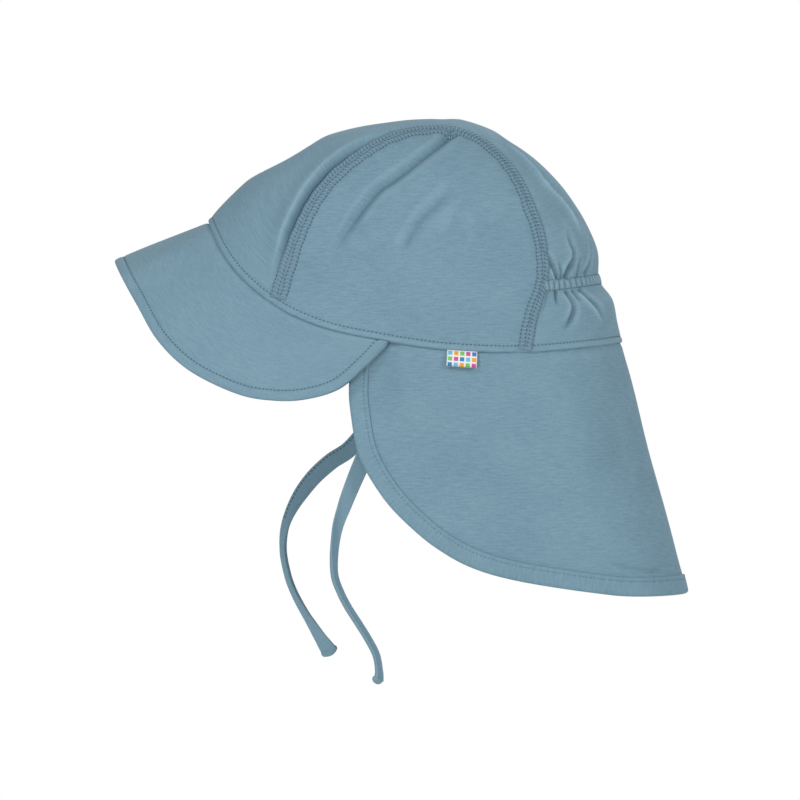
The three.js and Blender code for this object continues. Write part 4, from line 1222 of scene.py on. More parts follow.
def peak_grid():
    rim, edge = peak_edges()
    even = np.linspace(0, lengths_along(edge)[-1], PEAK_COLUMNS)
    step = np.interp(even, lengths_along(edge), np.arange(len(edge)))
    rim, edge = (
        np.stack([np.interp(step, np.arange(len(line)), line[:, axis]) for axis in range(3)], axis=1)
        for line in (rim, edge)
    )
    v = PEAK_ROWS[:, None, None]
    reach = np.linalg.norm(edge - rim, axis=1)[None, :, None] / PEAK_REACH
    rise = PEAK_CROWNING * reach * 4 * v * (1 - v)
    sheet = rim * (1 - v) + edge * v + from_centre(rim)[None] * rise
    upwards = RIM_UPWARDS[nearest_index(RIM_TREE, rim)]
    inwards = -from_centre(rim) * (1 + 1.5 * (1 - np.clip(4 * reach[0], 0, 1)))
    tucked = [sheet[0] + upwards * up + inwards * (0.8 * MM + 0.4 * up) for up in PEAK_TUCK]
    return np.concatenate([np.array(tucked), sheet[1:]]), edge


def distance_to(line, points):
    tree = search_tree(line)
    return np.array([tree.find(point)[2] for point in points.reshape(-1, 3)]).reshape(points.shape[:-1])


peak_flat, peak_edge = peak_grid()
from_edge = distance_to(peak_edge, peak_flat)
from_rim, _ = above_rim(peak_flat.reshape(-1, 3))
from_rim = np.abs(from_rim).reshape(from_edge.shape)
relief = -PEAK_GROOVE * hump(from_edge - PEAK_STITCH, PEAK_GROOVE_REACH)
relief += PEAK_SWELL * (1 - fade_in(from_edge, PEAK_SWELL_START, PEAK_STITCH))
relief -= PEAK_EDGE * hump(from_edge, PEAK_EDGE_REACH) + PEAK_RIM * hump(from_rim, PEAK_RIM_REACH)
relief += soft_noise(peak_flat.reshape(-1, 3), 30 * MM, 0.5 * MM).reshape(relief.shape)
peak_grid_out = facing_out(peak_flat)
turned = peak_grid_out is not peak_flat
relief = relief[:, ::-1] if turned else relief
peak_surface = peak_grid_out + grid_normals(peak_grid_out) * relief[..., None]
# At its ends the peak runs out behind the crown, and there its thickness points into the head space
wide = np.linalg.norm(peak_grid_out[-1] - peak_grid_out[len(PEAK_TUCK) - 1], axis=1)
open_share = fade_in(wide, PEAK_END_NARROW, PEAK_END_WIDE)[None, :, None]
peak_inwards = -unit(
    grid_normals(peak_surface) * open_share + from_centre(peak_grid_out) * (1 - open_share)
)
peak = cloth_wall("peak_cloth", peak_surface, PEAK_WALL, cloth_uv(peak_grid_out), 0.3, inwards=peak_inwards)
keep(peak, "jersey", "peak")


def peak_topstitch():
    normals = grid_normals(peak_surface)
    distance = distance_to(peak_edge, peak_surface)
    columns = range(3, PEAK_COLUMNS - 3)
    line, upwards = [], []
    for column in columns:
        down = distance[::-1, column]
        if down.max() < PEAK_STITCH * 1.02:
            continue
        row = np.interp(PEAK_STITCH, down, np.arange(len(down)))
        low = int(row)
        share = row - low
        here, there = peak_surface[::-1][low, column], peak_surface[::-1][low + 1, column]
        line.append(here * (1 - share) + there * share)
        upwards.append(normals[::-1][low, column])
    return topstitch("peak_topstitch", np.array(line), np.array(upwards), pitch=1.75 * MM, length=1.15 * MM)


peak_topstitch()

# %% [markdown]
# The neck flap is one sheet, cut as a rounded shape and sewn to the rim. It is laid out flat here as
# distance round the cap and height, and then hung on the form. Its top edge goes up behind the
# crown's rim, and in front it runs up behind the peak.

# %% Neck flap
FLAP_FRONT_EDGE = MM * np.array([(-30.6, 3.4), (-31.9, -13), (-31.5, -29), (-26.6, -49.9), (-17, -67.1)])
FLAP_HEM = MM * np.array([
    (-17, -67.1), (-5.9, -79.9), (10.6, -93.4), (27, -102), (48.9, -107.9), (81.9, -112.9), (104, -114.6),
])
HEM_BACK_Z = -113 * MM
FLAP_WALL = 1.2 * MM
FLAP_INSET, INSET_UNDER_PEAK = 0.4 * MM, 3.2 * MM
FLAP_DROP = 110 * MM
FLAP_WAVE, FLAP_WAVE_COUNT, FLAP_WAVE_SPREAD = 0.7 * MM, 4, 1.1
FLAP_COLUMNS, FLAP_ROWS = 380, 100
TUCK_HEIGHT, TUCK_INSET = 3.5 * MM, 1.9 * MM
TUCK_ROWS = np.array([1, 0.7, 0.4, 0.15])  # shares of that height, behind the crown's rim
FLAP_PUCKER, FLAP_PUCKER_PLACE, FLAP_PUCKER_REACH = 0.12 * MM, 2.5 * MM, 3 * MM
FLAP_PUCKER_WAVE, FLAP_PUCKER_DRIFT = 1.35, 5.1  # degrees round the cap
PLAN_LEVEL = -50 * MM  # the height at which distances round the cap are measured
PLAN_STEPS, PLAN_EDGE_STEPS = 20001, 2000
PLAN_ANGLES = np.linspace(0, 2 * math.pi, PLAN_STEPS)
PLAN_LENGTHS = lengths_along(form_point(PLAN_ANGLES, PLAN_LEVEL))


def plan_across(angle):
    return np.interp(angle, PLAN_ANGLES, PLAN_LENGTHS)


def plan_angle(across):
    return np.interp(across, PLAN_LENGTHS, PLAN_ANGLES)


def on_plan(side_view):
    y, z = side_view.T
    return np.stack([plan_across(angle_of(y, z)), z, np.zeros(len(z))], axis=1)


def flap_plan():
    """The flap laid out flat: distance round the cap, height and zero for each point."""
    down = np.linspace(0, 1, FLAP_ROWS)
    across = np.linspace(0, 1, FLAP_COLUMNS)
    middle_back = plan_across(math.pi)
    edge = np.vstack([on_plan(FLAP_FRONT_EDGE), on_plan(FLAP_HEM[1:]), [[middle_back, HEM_BACK_Z, 0]]])
    edge = smooth_curve(edge, PLAN_EDGE_STEPS)
    corner = np.linalg.norm(edge - on_plan(FLAP_FRONT_EDGE[-1:]), axis=1).argmin()
    front = at_shares(edge[:corner + 1], down)
    half = at_shares(edge[corner:], np.linspace(0, 1, FLAP_COLUMNS // 2))
    flipped = half[::-1] * [-1, 1, 1] + [2 * middle_back, 0, 0]
    hem = at_shares(np.vstack([half, flipped[1:]]), across)
    rim_across = front[0, 0] + (2 * middle_back - 2 * front[0, 0]) * across
    rim_points = rim_at(plan_angle(rim_across))
    rim = np.stack([rim_across, rim_points[:, 2], np.zeros(FLAP_COLUMNS)], axis=1)
    front[0] = rim[0]
    back = front * [-1, 1, 1] + [2 * middle_back, 0, 0]
    return coons(rim, hem, front, back, down, across)


def level_from_centre(points):
    return unit((points - FORM_CENTRE) * [1, 1, 0])


def flap_place(angle, z):
    """Points of the flap's outer face, before its small folds."""
    point = form_point(angle, z)
    # Under the peak and behind the crown's rim it lies deeper
    in_front = 1 - fade_in(point[..., 1], -18 * MM, -4 * MM)
    near_rim = fade_in(z, -60 * MM, -25 * MM)
    inset = FLAP_INSET + (INSET_UNDER_PEAK - FLAP_INSET) * in_front * near_rim
    behind = hump(angle - math.pi, FLAP_WAVE_SPREAD)
    wave = FLAP_WAVE * np.clip(-z / FLAP_DROP, 0, 1) * behind * np.cos(FLAP_WAVE_COUNT * (angle - math.pi))
    rim_z = np.interp(np.mod(angle, 2 * math.pi), np.linspace(0, 2 * math.pi, RIM_STEPS), RIM[:, 2])
    tucked = (TUCK_INSET - FLAP_INSET) * fade_in(z - rim_z, -1.0 * MM, 1.6 * MM)
    return point + level_from_centre(point) * (wave - inset - tucked)[..., None]


# Folds of the flap, given like the creases of the crown
FLAP_FOLDS = [
    {"line": [(84, -99.8), (96, -101.6), (106, -103.6), (116, -104)],
     "side": 1, "width": 2.2, "height": -1.1, "sharp": 0.4},
    {"line": [(-9.2, -1.8), (-4, -3), (2.8, -4.6)], "side": 1, "width": 1.6, "height": -0.8, "sharp": 0.4},
    {"line": [(2, -14), (20, -36), (36, -70)], "side": 1, "width": 13, "height": 0.9},
    {"line": [(60, -12), (72, -40), (82, -84)], "side": 1, "width": 12, "height": 1.0},
    {"line": [(88, -14), (92, -40), (100, -70)], "side": 1, "width": 8, "height": -0.9, "sharp": 0.1},
    {"line": [(4, -14), (22, -40), (40, -74)], "side": -1, "width": 12, "height": 1.1},
    {"line": [(66, -14), (76, -44), (88, -88)], "side": -1, "width": 11, "height": -1.0, "sharp": 0.05},
    {"line": [(88, -99), (98, -101), (108, -102)], "side": -1, "width": 2.6, "height": -0.9, "sharp": 0.3},
]


def flap_relief(points):
    relief = soft_noise(points, 42 * MM, 0.8 * MM) + soft_noise(points + 2, 15 * MM, 0.18 * MM)
    for fold in FLAP_FOLDS:
        relief += crease_relief(points, fold)
    height, _ = above_rim(points)
    below = np.maximum(0, -height)
    angle = np.degrees(angle_to(points))
    pucker = np.sin(angle / FLAP_PUCKER_WAVE + 1.7 * np.sin(angle / FLAP_PUCKER_DRIFT))
    return relief + FLAP_PUCKER * pucker * hump(below - FLAP_PUCKER_PLACE, FLAP_PUCKER_REACH)


def flap_surface(angle, z):
    place = flap_place(angle, z)
    flat = place.reshape(-1, 3)
    return (flat + level_from_centre(flat) * flap_relief(flat)[:, None]).reshape(place.shape)


plan = flap_plan()
tuck = plan[:1].repeat(len(TUCK_ROWS), axis=0) + TUCK_ROWS[:, None, None] * [0, TUCK_HEIGHT, 0]
flap_flat = np.vstack([tuck, plan])
flap_grid = flap_surface(plan_angle(flap_flat[..., 0]), flap_flat[..., 1])
# Painted shade in the flap's creases and painted highlight on its ridges, kept off the cloth near the rim
flap_height, _ = above_rim(flap_grid.reshape(-1, 3))
clear_of_rim = fade_in(-flap_height.reshape(flap_grid.shape[:2]), 2 * MM, 6 * MM)
flap_painted_shading = hollows(flap_grid) * clear_of_rim
neck_flap = cloth_wall("neck_flap_cloth", flap_grid, FLAP_WALL, flap_flat[..., :2], hollow=flap_painted_shading)
keep(neck_flap, "jersey", "neck_flap")

# %% [markdown]
# The free edge is bound: a strip of the same jersey is folded round it and topstitched, which makes
# a flat band 7.8 mm wide with a firm inner edge. The strip's section goes out along the outer face,
# round the flap's edge, and back along the inner face.

# %% Hem
HEM_STITCH = 6.0 * MM  # from the edge
HEM_STEP = 1.05 * MM
HEM_SHARES = (0.004, 0.996)  # its ends lie just behind the crown's rim
HEM_STITCH_CORNER, HEM_MIDDLE_CORNER = 5, 8  # of the section, counted from 0
HEM_PUCKER, HEM_PUCKER_REACH = 0.13 * MM, 1.6 * MM
HEM_PUCKER_WAVE, HEM_PUCKER_DRIFT = 0.9 * MM, 6 * MM
# Distance in from the edge and height over the flap's outer face, round the folded strip, in mm
HEM_SECTION = MM * np.array([
    (7.8, 0.05), (7.95, 0.5), (7.7, 0.92), (7.1, 0.98), (6.5, 0.86), (6.0, 0.66), (5.5, 0.8), (4.8, 0.86),
    (3.6, 0.86), (2.2, 0.84), (0.9, 0.8), (0.1, 0.66), (-0.5, 0.3), (-0.75, -0.3), (-0.75, -0.9),
    (-0.5, -1.5), (0.1, -1.86), (0.9, -1.96), (2.4, -2.0), (4.8, -1.96), (7.2, -1.9), (7.7, -1.6),
    (7.7, -1.35), (4.0, -1.32), (0.3, -1.3), (-0.1, -0.9), (-0.1, -0.3), (0.3, 0.1), (4.0, 0.1),
])


def free_edge(grid):
    """Edge points of the flap from its front corner down, along the hem and up, with their normals."""
    normals = grid_normals(grid)
    route = [(row, 0) for row in range(len(grid))]
    route += [(-1, column) for column in range(1, grid.shape[1])]
    route += [(row, -1) for row in range(len(grid) - 2, -1, -1)]
    rows, columns = np.array(route).T
    return grid[rows, columns], normals[rows, columns]


def smoothed(values, passes):
    for _ in range(passes):
        inner = (values[:-2] + 2 * values[1:-1] + values[2:]) / 4
        values = np.concatenate([values[:1], inner, values[-1:]])
    return values


def onto_flap(points):
    return flap_surface(np.mod(angle_to(points), 2 * math.pi), points[..., 2])


def hem_band(grid):
    """Rings of the folded strip round the flap's edge, and the way out of the cloth at each."""
    edge, normal = free_edge(grid)
    count = int(lengths_along(edge)[-1] / HEM_STEP)
    shares = np.linspace(*HEM_SHARES, count)
    walked = lengths_along(edge) / lengths_along(edge)[-1]
    normal = np.stack([np.interp(shares, walked, normal[:, axis]) for axis in range(3)], axis=1)
    edge = at_shares(edge, shares)
    normal = unit(smoothed(normal, 3))
    into = unit(smoothed(np.cross(normal, tangents(edge)), 6))
    rings = []
    along = lengths_along(edge)
    pucker = HEM_PUCKER * np.sin(along / HEM_PUCKER_WAVE + 1.6 * np.sin(along / HEM_PUCKER_DRIFT))
    for distance, height in HEM_SECTION:
        place = edge + into * distance
        if distance > 0:
            place = onto_flap(place)
        outside = height > 0.3 * MM and distance > 0.5 * MM
        lift = pucker * hump(distance - HEM_STITCH, HEM_PUCKER_REACH) if outside else 0 * pucker
        rings.append(place + normal * (height + lift)[:, None])
    return np.stack(rings, axis=1), normal


hem_rings, hem_normal = hem_band(flap_grid[len(TUCK_ROWS):])
flap_hem = tube("flap_hem_band", hem_rings, lengths_along(hem_rings[:, HEM_MIDDLE_CORNER]))
keep(flap_hem, "jersey_binding", "flap_hem")
hem_stitches = topstitch(
    "hem_topstitch", hem_rings[:, HEM_STITCH_CORNER], hem_normal, length=1.05 * MM, thread=0.32 * MM
)

# %% [markdown]
# On the real cap a plain elastic tape runs inside the channel. Here it lies just inside the
# gathered cloth, so it shows only from below, through the head opening.

# %% Elastic
ELASTIC_HEIGHT, ELASTIC_THICKNESS = 5 * MM, 0.9 * MM
ELASTIC_EASE = 1.2 * MM  # from the cloth's inner face to the tape
ELASTIC_COLUMNS, ELASTIC_ROWS = 200, 7
ELASTIC_PASSES = 12  # of smoothing, because the tape doesn't follow the cloth's small folds


def elastic_tape():
    degrees = channel_degrees(ELASTIC_TRIM, ELASTIC_COLUMNS)[None, :]
    height = np.linspace(0.5, -0.5, ELASTIC_ROWS)[:, None] * ELASTIC_HEIGHT
    cloth = crown_surface(channel_place(degrees, height))
    for _ in range(ELASTIC_PASSES):
        cloth[:, 1:-1] = (cloth[:, :-2] + 2 * cloth[:, 1:-1] + cloth[:, 2:]) / 4
    grid = cloth - from_centre(cloth) * (CROWN_WALL + ELASTIC_EASE)
    tape = cloth_wall("back_elastic_tape", facing_out(grid), ELASTIC_THICKNESS, cloth_uv(grid), 0.2)
    return keep(tape, "elastic", "back_elastic")


elastic_tape()

# %% [markdown]
# The label tab is a short ribbon folded double and caught in the rim seam. It is modelled by hand:
# one leg is a small grid, its lower edge is spun round the fold, and the other leg is drawn up from
# there. The solidify modifier gives the ribbon its thickness.

# %% Label tab
LABEL_WIDTH, LABEL_DROP, LABEL_Y = 13.8 * MM, 7.8 * MM, 20.7 * MM
LABEL_RIBBON, LABEL_FOLD = 0.42 * MM, 0.5 * MM  # thickness, and radius of the fold's middle
LABEL_TOP = 2.5 * MM  # goes up behind the crown's rim
LABEL_BEND = 0.06  # of its width: its sides lie back by a quarter of this
LABEL_LIFT, LABEL_STAND_OFF, LABEL_INSET = 1.9 * MM, 0.5 * MM, 1.2 * MM


def model_label():
    leg = LABEL_DROP + LABEL_TOP - LABEL_FOLD
    bpy.ops.object.select_all(action="DESELECT")
    bpy.ops.mesh.primitive_grid_add(x_subdivisions=14, y_subdivisions=10, size=1)
    piece = bpy.context.object
    piece.name = "label_ribbon_tab"
    bpy.ops.object.mode_set(mode="EDIT")
    bpy.ops.mesh.select_all(action="SELECT")
    bpy.ops.transform.resize(value=(LABEL_WIDTH, leg, 1))
    upright = {"orient_axis": "X", "orient_type": "GLOBAL", "center_override": (0, 0, 0)}
    bpy.ops.transform.rotate(value=-math.pi / 2, **upright)
    bpy.ops.transform.translate(value=(0, 0, LABEL_TOP - leg / 2))
    low = LABEL_TOP - leg
    bpy.ops.mesh.select_mode(type="VERT")
    select_where(piece, lambda place: place.z < low + 0.01 * MM)
    bpy.ops.mesh.spin(steps=8, angle=math.pi, center=(0, LABEL_FOLD, low), axis=(1, 0, 0))
    deepest = min(vertex.co.z for vertex in piece.data.vertices)
    print(f"label fold reaches {1000 * deepest:.2f} mm")
    for _ in range(6):
        bpy.ops.mesh.extrude_region_move(TRANSFORM_OT_translate={"value": (0, 0, leg / 6)})
    bpy.ops.object.mode_set(mode="OBJECT")
    return piece


label = model_label()
solidify = label.modifiers.new("ribbon", "SOLIDIFY")
solidify.thickness = LABEL_RIBBON
solidify.offset = 0
bpy.context.view_layer.objects.active = label
bpy.ops.object.modifier_apply(modifier=solidify.name)


def place_label(piece):
    """Moves the label to its place on the rim, and gives it a UV map in ribbon lengths."""
    local = np.array([vertex.co for vertex in piece.data.vertices], float)
    for layer in list(piece.data.uv_layers):
        piece.data.uv_layers.remove(layer)
    set_uv(piece.data, np.stack([local[:, 0] / LABEL_WIDTH + 0.5, -local[:, 2] / LABEL_DROP], axis=1))
    seat = rim_at(rim_angle(LABEL_Y))
    ahead = unit(rim_at(rim_angle(LABEL_Y + MM)) - rim_at(rim_angle(LABEL_Y - MM)))
    outwards = unit(np.cross(ahead, [0.0, 0, 1]))
    upwards = np.cross(outwards, ahead)
    bent = LABEL_BEND * local[:, 0] ** 2 / LABEL_WIDTH
    hanging = LABEL_STAND_OFF * np.clip(-local[:, 2] / LABEL_DROP, 0, 1)
    over_rim = LABEL_LIFT * fade_in(-local[:, 2], -0.8 * MM, 2 * MM)
    lifted = (over_rim - local[:, 1] + hanging - bent - LABEL_INSET)[:, None]
    place = seat + local[:, :1] * ahead + lifted * outwards + local[:, 2:] * upwards
    piece.data.vertices.foreach_set("co", place.astype(np.float32).ravel())
    piece.data.update()
    piece.data.shade_smooth()


place_label(label)
keep(label, "label_ribbon", "label_tab")

# %% [markdown]
# Every finish is made of nodes. Colours are written as they read on the screen and turned into the
# linear values that the renderer needs. The knit's real loops are about as fine as a pixel of the
# photograph, so its grain is drawn a little coarser, which still reads as knit at this distance.

# %% Finishes


def linear(colour):
    """Linear red, green, blue and alpha from a screen colour such as 7A99AA."""
    shares = [int(colour[start:start + 2], 16) / 255 for start in (0, 2, 4)]
    return [
        share / 12.92 if share <= 0.04045 else ((share + 0.055) / 1.055) ** 2.4 for share in shares
    ] + [1.0]


def add_node(tree, kind, settings=None, **inputs):
    """Adds one node and sets or links its inputs. Names such as i0 pick an input by its number."""
    node = tree.nodes.new(kind)
    for name, value in (settings or {}).items():
        setattr(node, name, value)
    for name, value in inputs.items():
        by_number = name[0] == "i" and name[1:].isdigit()
        socket = node.inputs[int(name[1:]) if by_number else name.replace("_", " ")]
        if isinstance(value, bpy.types.NodeSocket):
            tree.links.new(value, socket)
        else:
            socket.default_value = value
    return node


def new_material(name):
    material = bpy.data.materials.new(name)
    material.use_nodes = True
    material.node_tree.nodes.clear()
    return material, material.node_tree


def finish_material(tree, colour, bump, **shader_values):
    shader = add_node(tree, "ShaderNodeBsdfPrincipled", Base_Color=colour, Normal=bump, **shader_values)
    add_node(tree, "ShaderNodeOutputMaterial", Surface=shader.outputs["BSDF"])


def stretched_noise(tree, place, turn, across, along, detail):
    """Noise whose spots are as long and as high as given, in mm, turned by some degrees."""
    turned = add_node(
        tree, "ShaderNodeMapping", Vector=place, Rotation=(0, 0, math.radians(turn)),
        Scale=(1 / (across * MM), 1 / (along * MM), 1),
    ).outputs["Vector"]
    return add_node(
        tree, "ShaderNodeTexNoise", Vector=turned, Scale=1.0, Detail=detail, Roughness=0.6
    ).outputs["Fac"]


PAINTED_CREASE_SHADE_COLOUR = "557283"  # painted shade, mixed in to darken the cloth in deep creases
PAINTED_RIDGE_HIGHLIGHT_COLOUR = "9CBAC8"  # painted highlight, mixed in to lighten the cloth on folded edges


def jersey(name, colour, dark, turn=0.0):
    """Heathered single jersey: fine grain, faint slubs along the courses, soft sheen, painted shade in
    creases and painted highlight on ridges.
    """
    material, tree = new_material(name)
    place = add_node(tree, "ShaderNodeTexCoord").outputs["UV"]
    slubs = stretched_noise(tree, place, turn, 6.0, 0.8, 2.0)
    grain = stretched_noise(tree, place, turn, 1.1, 0.7, 2.0)
    clouds = stretched_noise(tree, place, turn, 38.0, 26.0, 1.0)
    texture = add_node(
        tree, "ShaderNodeMath", {"operation": "MULTIPLY_ADD"}, i0=slubs, i1=1.2, i2=grain
    ).outputs["Value"]
    whole = add_node(
        tree, "ShaderNodeMath", {"operation": "MULTIPLY_ADD"}, i0=clouds, i1=0.5, i2=texture
    ).outputs["Value"]
    share = add_node(
        tree, "ShaderNodeMapRange", Value=whole, From_Min=0.95, From_Max=1.75
    ).outputs["Result"]
    # A colour mix has its two colours as inputs 6 and 7, and gives its colour as output 2
    heather = add_node(
        tree, "ShaderNodeMix", {"data_type": "RGBA"}, i0=share, i6=linear(dark), i7=linear(colour)
    ).outputs[2]
    # Painted shading from the piece's attribute: painted shade in creases, and painted highlight on ridges
    # where the attribute is below 0
    hollow = add_node(tree, "ShaderNodeAttribute", {"attribute_name": "hollow"}).outputs["Fac"]
    ridge = add_node(tree, "ShaderNodeMath", {"operation": "MULTIPLY"}, i0=hollow, i1=-1.0).outputs["Value"]
    darker = add_node(
        tree, "ShaderNodeMix", {"data_type": "RGBA"}, i0=hollow, i6=heather, i7=linear(PAINTED_CREASE_SHADE_COLOUR)
    ).outputs[2]
    tint = add_node(
        tree, "ShaderNodeMix", {"data_type": "RGBA"}, i0=ridge, i6=darker, i7=linear(PAINTED_RIDGE_HIGHLIGHT_COLOUR)
    )
    bump = add_node(tree, "ShaderNodeBump", Height=texture, Strength=0.35, Distance=0.2 * MM)
    finish_material(
        tree, tint.outputs[2], bump.outputs["Normal"], Roughness=0.92, Specular_IOR_Level=0.15,
        Sheen_Weight=0.06, Sheen_Roughness=0.5,
    )
    return material


PLAIN_GRAIN = 0.625 * MM  # of thread, tape and paper, coarser than the real one so that it shows


def plain(name, colour, roughness, **values):
    """One even colour with a fine grain."""
    material, tree = new_material(name)
    place = add_node(tree, "ShaderNodeTexCoord").outputs["Object"]
    grain = add_node(tree, "ShaderNodeTexNoise", Vector=place, Scale=1 / PLAIN_GRAIN, Detail=2.0)
    bump = add_node(tree, "ShaderNodeBump", Height=grain.outputs["Fac"], Strength=0.2, Distance=0.1 * MM)
    finish_material(tree, linear(colour), bump.outputs["Normal"], Roughness=roughness, **values)
    return material


# Dyed cotton jersey is matt, because its fuzz scatters the light, and unevenly dyed yarns heather
# it. The middle panel and the peak are cut with their courses running the other way.
SIDE_JERSEY = jersey("cotton_jersey_side", "82A2B2", "6D8DA0", turn=-6)
FRONT_JERSEY = jersey("cotton_jersey_middle", "82A2B2", "7191A3", turn=80)
# The folded strips show the same jersey, and on the narrow ties less of its heather is seen
BINDING = jersey("jersey_binding", "82A2B2", "6E8EA0")
TIE_JERSEY = jersey("folded_jersey_tie", "82A2B2", "7898A9")
# Sewing thread is painted darker than the cloth, as painted shade of the small shadow it lies in, so each
# stitch reads as a short darker dash
THREAD_PAINTED_SHADE_FINISH = plain("sewing_thread", "446474", 0.7)
# The hem's thread is painted a little darker than the cloth too, as painted shade
HEM_THREAD_PAINTED_SHADE_FINISH = plain("hem_thread", "5F7E90", 0.7)
# Looping thread is soft and stands up, which gives the seams their pale rungs
RUNG_FINISH = plain("looping_thread", "84A2B2", 0.7)
# Between them the seam's cloth is painted darker, as painted shade between the rungs
SEAM_BAND_PAINTED_SHADE_FINISH = plain("seam_cloth", "6D8C9E", 0.9)
# Woven elastic is a plain, nearly matt white
ELASTIC_FINISH = plain("woven_elastic", "E4E6E6", 0.8)
# Satin ribbon has a faint shine, and its woven squares keep clean edges
LABEL_GROUND = "EFEFEA"
LABEL_COLOURS = ("6CC0E6", "F2A63C", "7CC36A", "D1569F", "3F83C4")
LABEL_SQUARES = (5, 3)  # across and down
SQUARE_HALF = 0.36  # of the distance between two squares
LABEL_RIBS = 8.0  # scale of the weave, which makes its ribs 0.3 mm apart on a drop of 7.8 mm


def woven_label():
    """Satin ribbon with small woven squares whose colours step on by two in each row."""
    material, tree = new_material("woven_satin_label")
    place = add_node(tree, "ShaderNodeUVMap", {"uv_map": "cloth"}).outputs["UV"]
    scaled = add_node(
        tree, "ShaderNodeVectorMath", {"operation": "MULTIPLY"}, i0=place, i1=(*LABEL_SQUARES, 1)
    ).outputs["Vector"]
    cell = add_node(tree, "ShaderNodeVectorMath", {"operation": "FLOOR"}, i0=scaled).outputs["Vector"]
    within = add_node(tree, "ShaderNodeVectorMath", {"operation": "FRACTION"}, i0=scaled).outputs["Vector"]
    off_middle = add_node(
        tree, "ShaderNodeVectorMath", {"operation": "SUBTRACT"}, i0=within, i1=(0.5, 0.5, 0)
    ).outputs["Vector"]
    distance = add_node(
        tree, "ShaderNodeVectorMath", {"operation": "ABSOLUTE"}, i0=off_middle
    ).outputs["Vector"]
    sides = add_node(tree, "ShaderNodeSeparateXYZ", Vector=distance).outputs
    furthest = add_node(tree, "ShaderNodeMath", {"operation": "MAXIMUM"}, i0=sides["X"], i1=sides["Y"])
    in_square = add_node(
        tree, "ShaderNodeMath", {"operation": "LESS_THAN"}, i0=furthest.outputs["Value"], i1=SQUARE_HALF
    ).outputs["Value"]
    steps = 1 / len(LABEL_COLOURS)
    row_and_column = add_node(
        tree, "ShaderNodeVectorMath", {"operation": "DOT_PRODUCT"}, i0=cell, i1=(steps, 2 * steps, 0)
    ).outputs["Value"]
    turn = add_node(
        tree, "ShaderNodeMath", {"operation": "ADD"}, i0=row_and_column, i1=steps / 2
    ).outputs["Value"]
    choice = add_node(tree, "ShaderNodeMath", {"operation": "FRACT"}, i0=turn).outputs["Value"]
    ramp = add_node(tree, "ShaderNodeValToRGB", i0=choice)
    ramp.color_ramp.interpolation = "CONSTANT"
    for number, colour in enumerate(LABEL_COLOURS):
        stops = ramp.color_ramp.elements
        stop = stops[number] if number < 2 else stops.new(number * steps)
        stop.position = number * steps
        stop.color = linear(colour)
    tint = add_node(
        tree, "ShaderNodeMix", {"data_type": "RGBA"}, i0=in_square, i6=linear(LABEL_GROUND),
        i7=ramp.outputs["Color"],
    ).outputs[2]
    weave = add_node(
        tree, "ShaderNodeTexWave", {"wave_type": "BANDS", "bands_direction": "Y"}, Vector=place,
        Scale=LABEL_RIBS,
    ).outputs["Fac"]
    bump = add_node(tree, "ShaderNodeBump", Height=weave, Strength=0.25, Distance=0.08 * MM)
    finish_material(tree, tint, bump.outputs["Normal"], Roughness=0.45, Specular_IOR_Level=0.3)
    return material


# The first row whose words are in a piece's name gives its finish
FINISHES = [
    ("rungs", RUNG_FINISH), ("hem_topstitch", HEM_THREAD_PAINTED_SHADE_FINISH), ("needle", THREAD_PAINTED_SHADE_FINISH),
    ("stitch", THREAD_PAINTED_SHADE_FINISH), ("flatlock_band", SEAM_BAND_PAINTED_SHADE_FINISH), ("back_elastic_tape", ELASTIC_FINISH),
    ("label_ribbon_tab", woven_label()), ("middle_panel_cloth", FRONT_JERSEY),
    ("peak_cloth", FRONT_JERSEY), ("tie_", TIE_JERSEY), ("flap_hem_band", BINDING), ("", SIDE_JERSEY),
]
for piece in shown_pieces():
    finish = next(finish for words, finish in FINISHES if words in piece.name)
    piece.data.materials.clear()
    piece.data.materials.append(finish)
print("finishes:", sorted({finish.name for _, finish in FINISHES}))

# %% [markdown]
# The photograph is a studio picture on white with soft light from the upper left. The key light
# stands there. Three wider lamps stand behind the cap, on its far side and low in front of it, and
# the white surroundings fill the shadows. The floor is pale paper. It lies so low that no lamp
# cuts through it, and is so wide that its edge stays out of the other views.

# %% Floor and light
FLOOR_Z, FLOOR_SIZE = -0.85, 8  # metres
FILL_LIGHT = 0.44  # of the surroundings on the cap; the camera sees them as full white
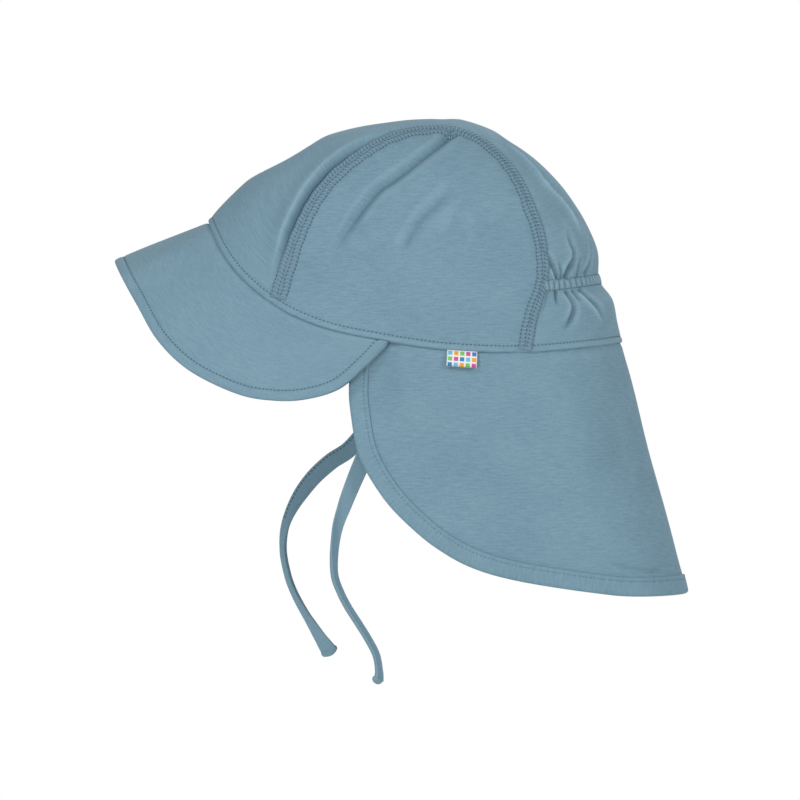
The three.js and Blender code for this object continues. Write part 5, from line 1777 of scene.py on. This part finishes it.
# Name, place in metres, width in metres and power in watts of each round lamp
LAMPS = [
    ("key_light", (1.35, -0.85, 1.25), 0.4, 7.5), ("back_light", (1.2, 1.5, 0.8), 0.7, 13),
    ("far_side_light", (-1.5, 0.3, 0.9), 0.8, 8), ("front_light", (1.55, -0.95, -0.15), 0.5, 8),
]


def add_floor():
    bpy.ops.object.select_all(action="DESELECT")
    bpy.ops.mesh.primitive_plane_add(size=FLOOR_SIZE, location=(0, 0, 0))
    floor = bpy.context.object
    floor.name = "studio_floor"
    bpy.ops.object.mode_set(mode="EDIT")
    bpy.ops.mesh.select_all(action="SELECT")
    bpy.ops.transform.translate(value=(0, 0, FLOOR_Z))
    bpy.ops.object.mode_set(mode="OBJECT")
    floor.data.materials.append(plain("studio_paper", "F4F4F2", 0.9))


def add_lamp(name, place, size, power):
    data = bpy.data.lights.new(name, "AREA")
    data.shape = "DISK"
    data.size = size
    data.energy = power
    lamp = bpy.data.objects.new(name, data)
    bpy.context.scene.collection.objects.link(lamp)
    lamp.location = place
    lamp.rotation_euler = (-Vector(place)).to_track_quat("-Z", "Y").to_euler()


def add_surroundings():
    world = bpy.data.worlds.new("white_studio")
    world.use_nodes = True
    world.node_tree.nodes.clear()
    tree = world.node_tree
    fill = add_node(tree, "ShaderNodeBackground", Color=(1, 1, 1, 1), Strength=FILL_LIGHT)
    paper = add_node(tree, "ShaderNodeBackground", Color=(1, 1, 1, 1), Strength=1.0)
    seen = add_node(tree, "ShaderNodeLightPath").outputs["Is Camera Ray"]
    either = add_node(
        tree, "ShaderNodeMixShader", i0=seen, i1=fill.outputs["Background"], i2=paper.outputs["Background"]
    )
    add_node(tree, "ShaderNodeOutputWorld", Surface=either.outputs["Shader"])
    bpy.context.scene.world = world
    bpy.context.scene.view_settings.view_transform = "Standard"


add_floor()
for lamp_values in LAMPS:
    add_lamp(*lamp_values)
add_surroundings()
print(len(LAMPS), "lamps")

# %% [markdown]
# The pieces' triangles are counted up and printed.

# %% Finish
print(sum(triangles for _, triangles in FINISHED), "triangles in all")
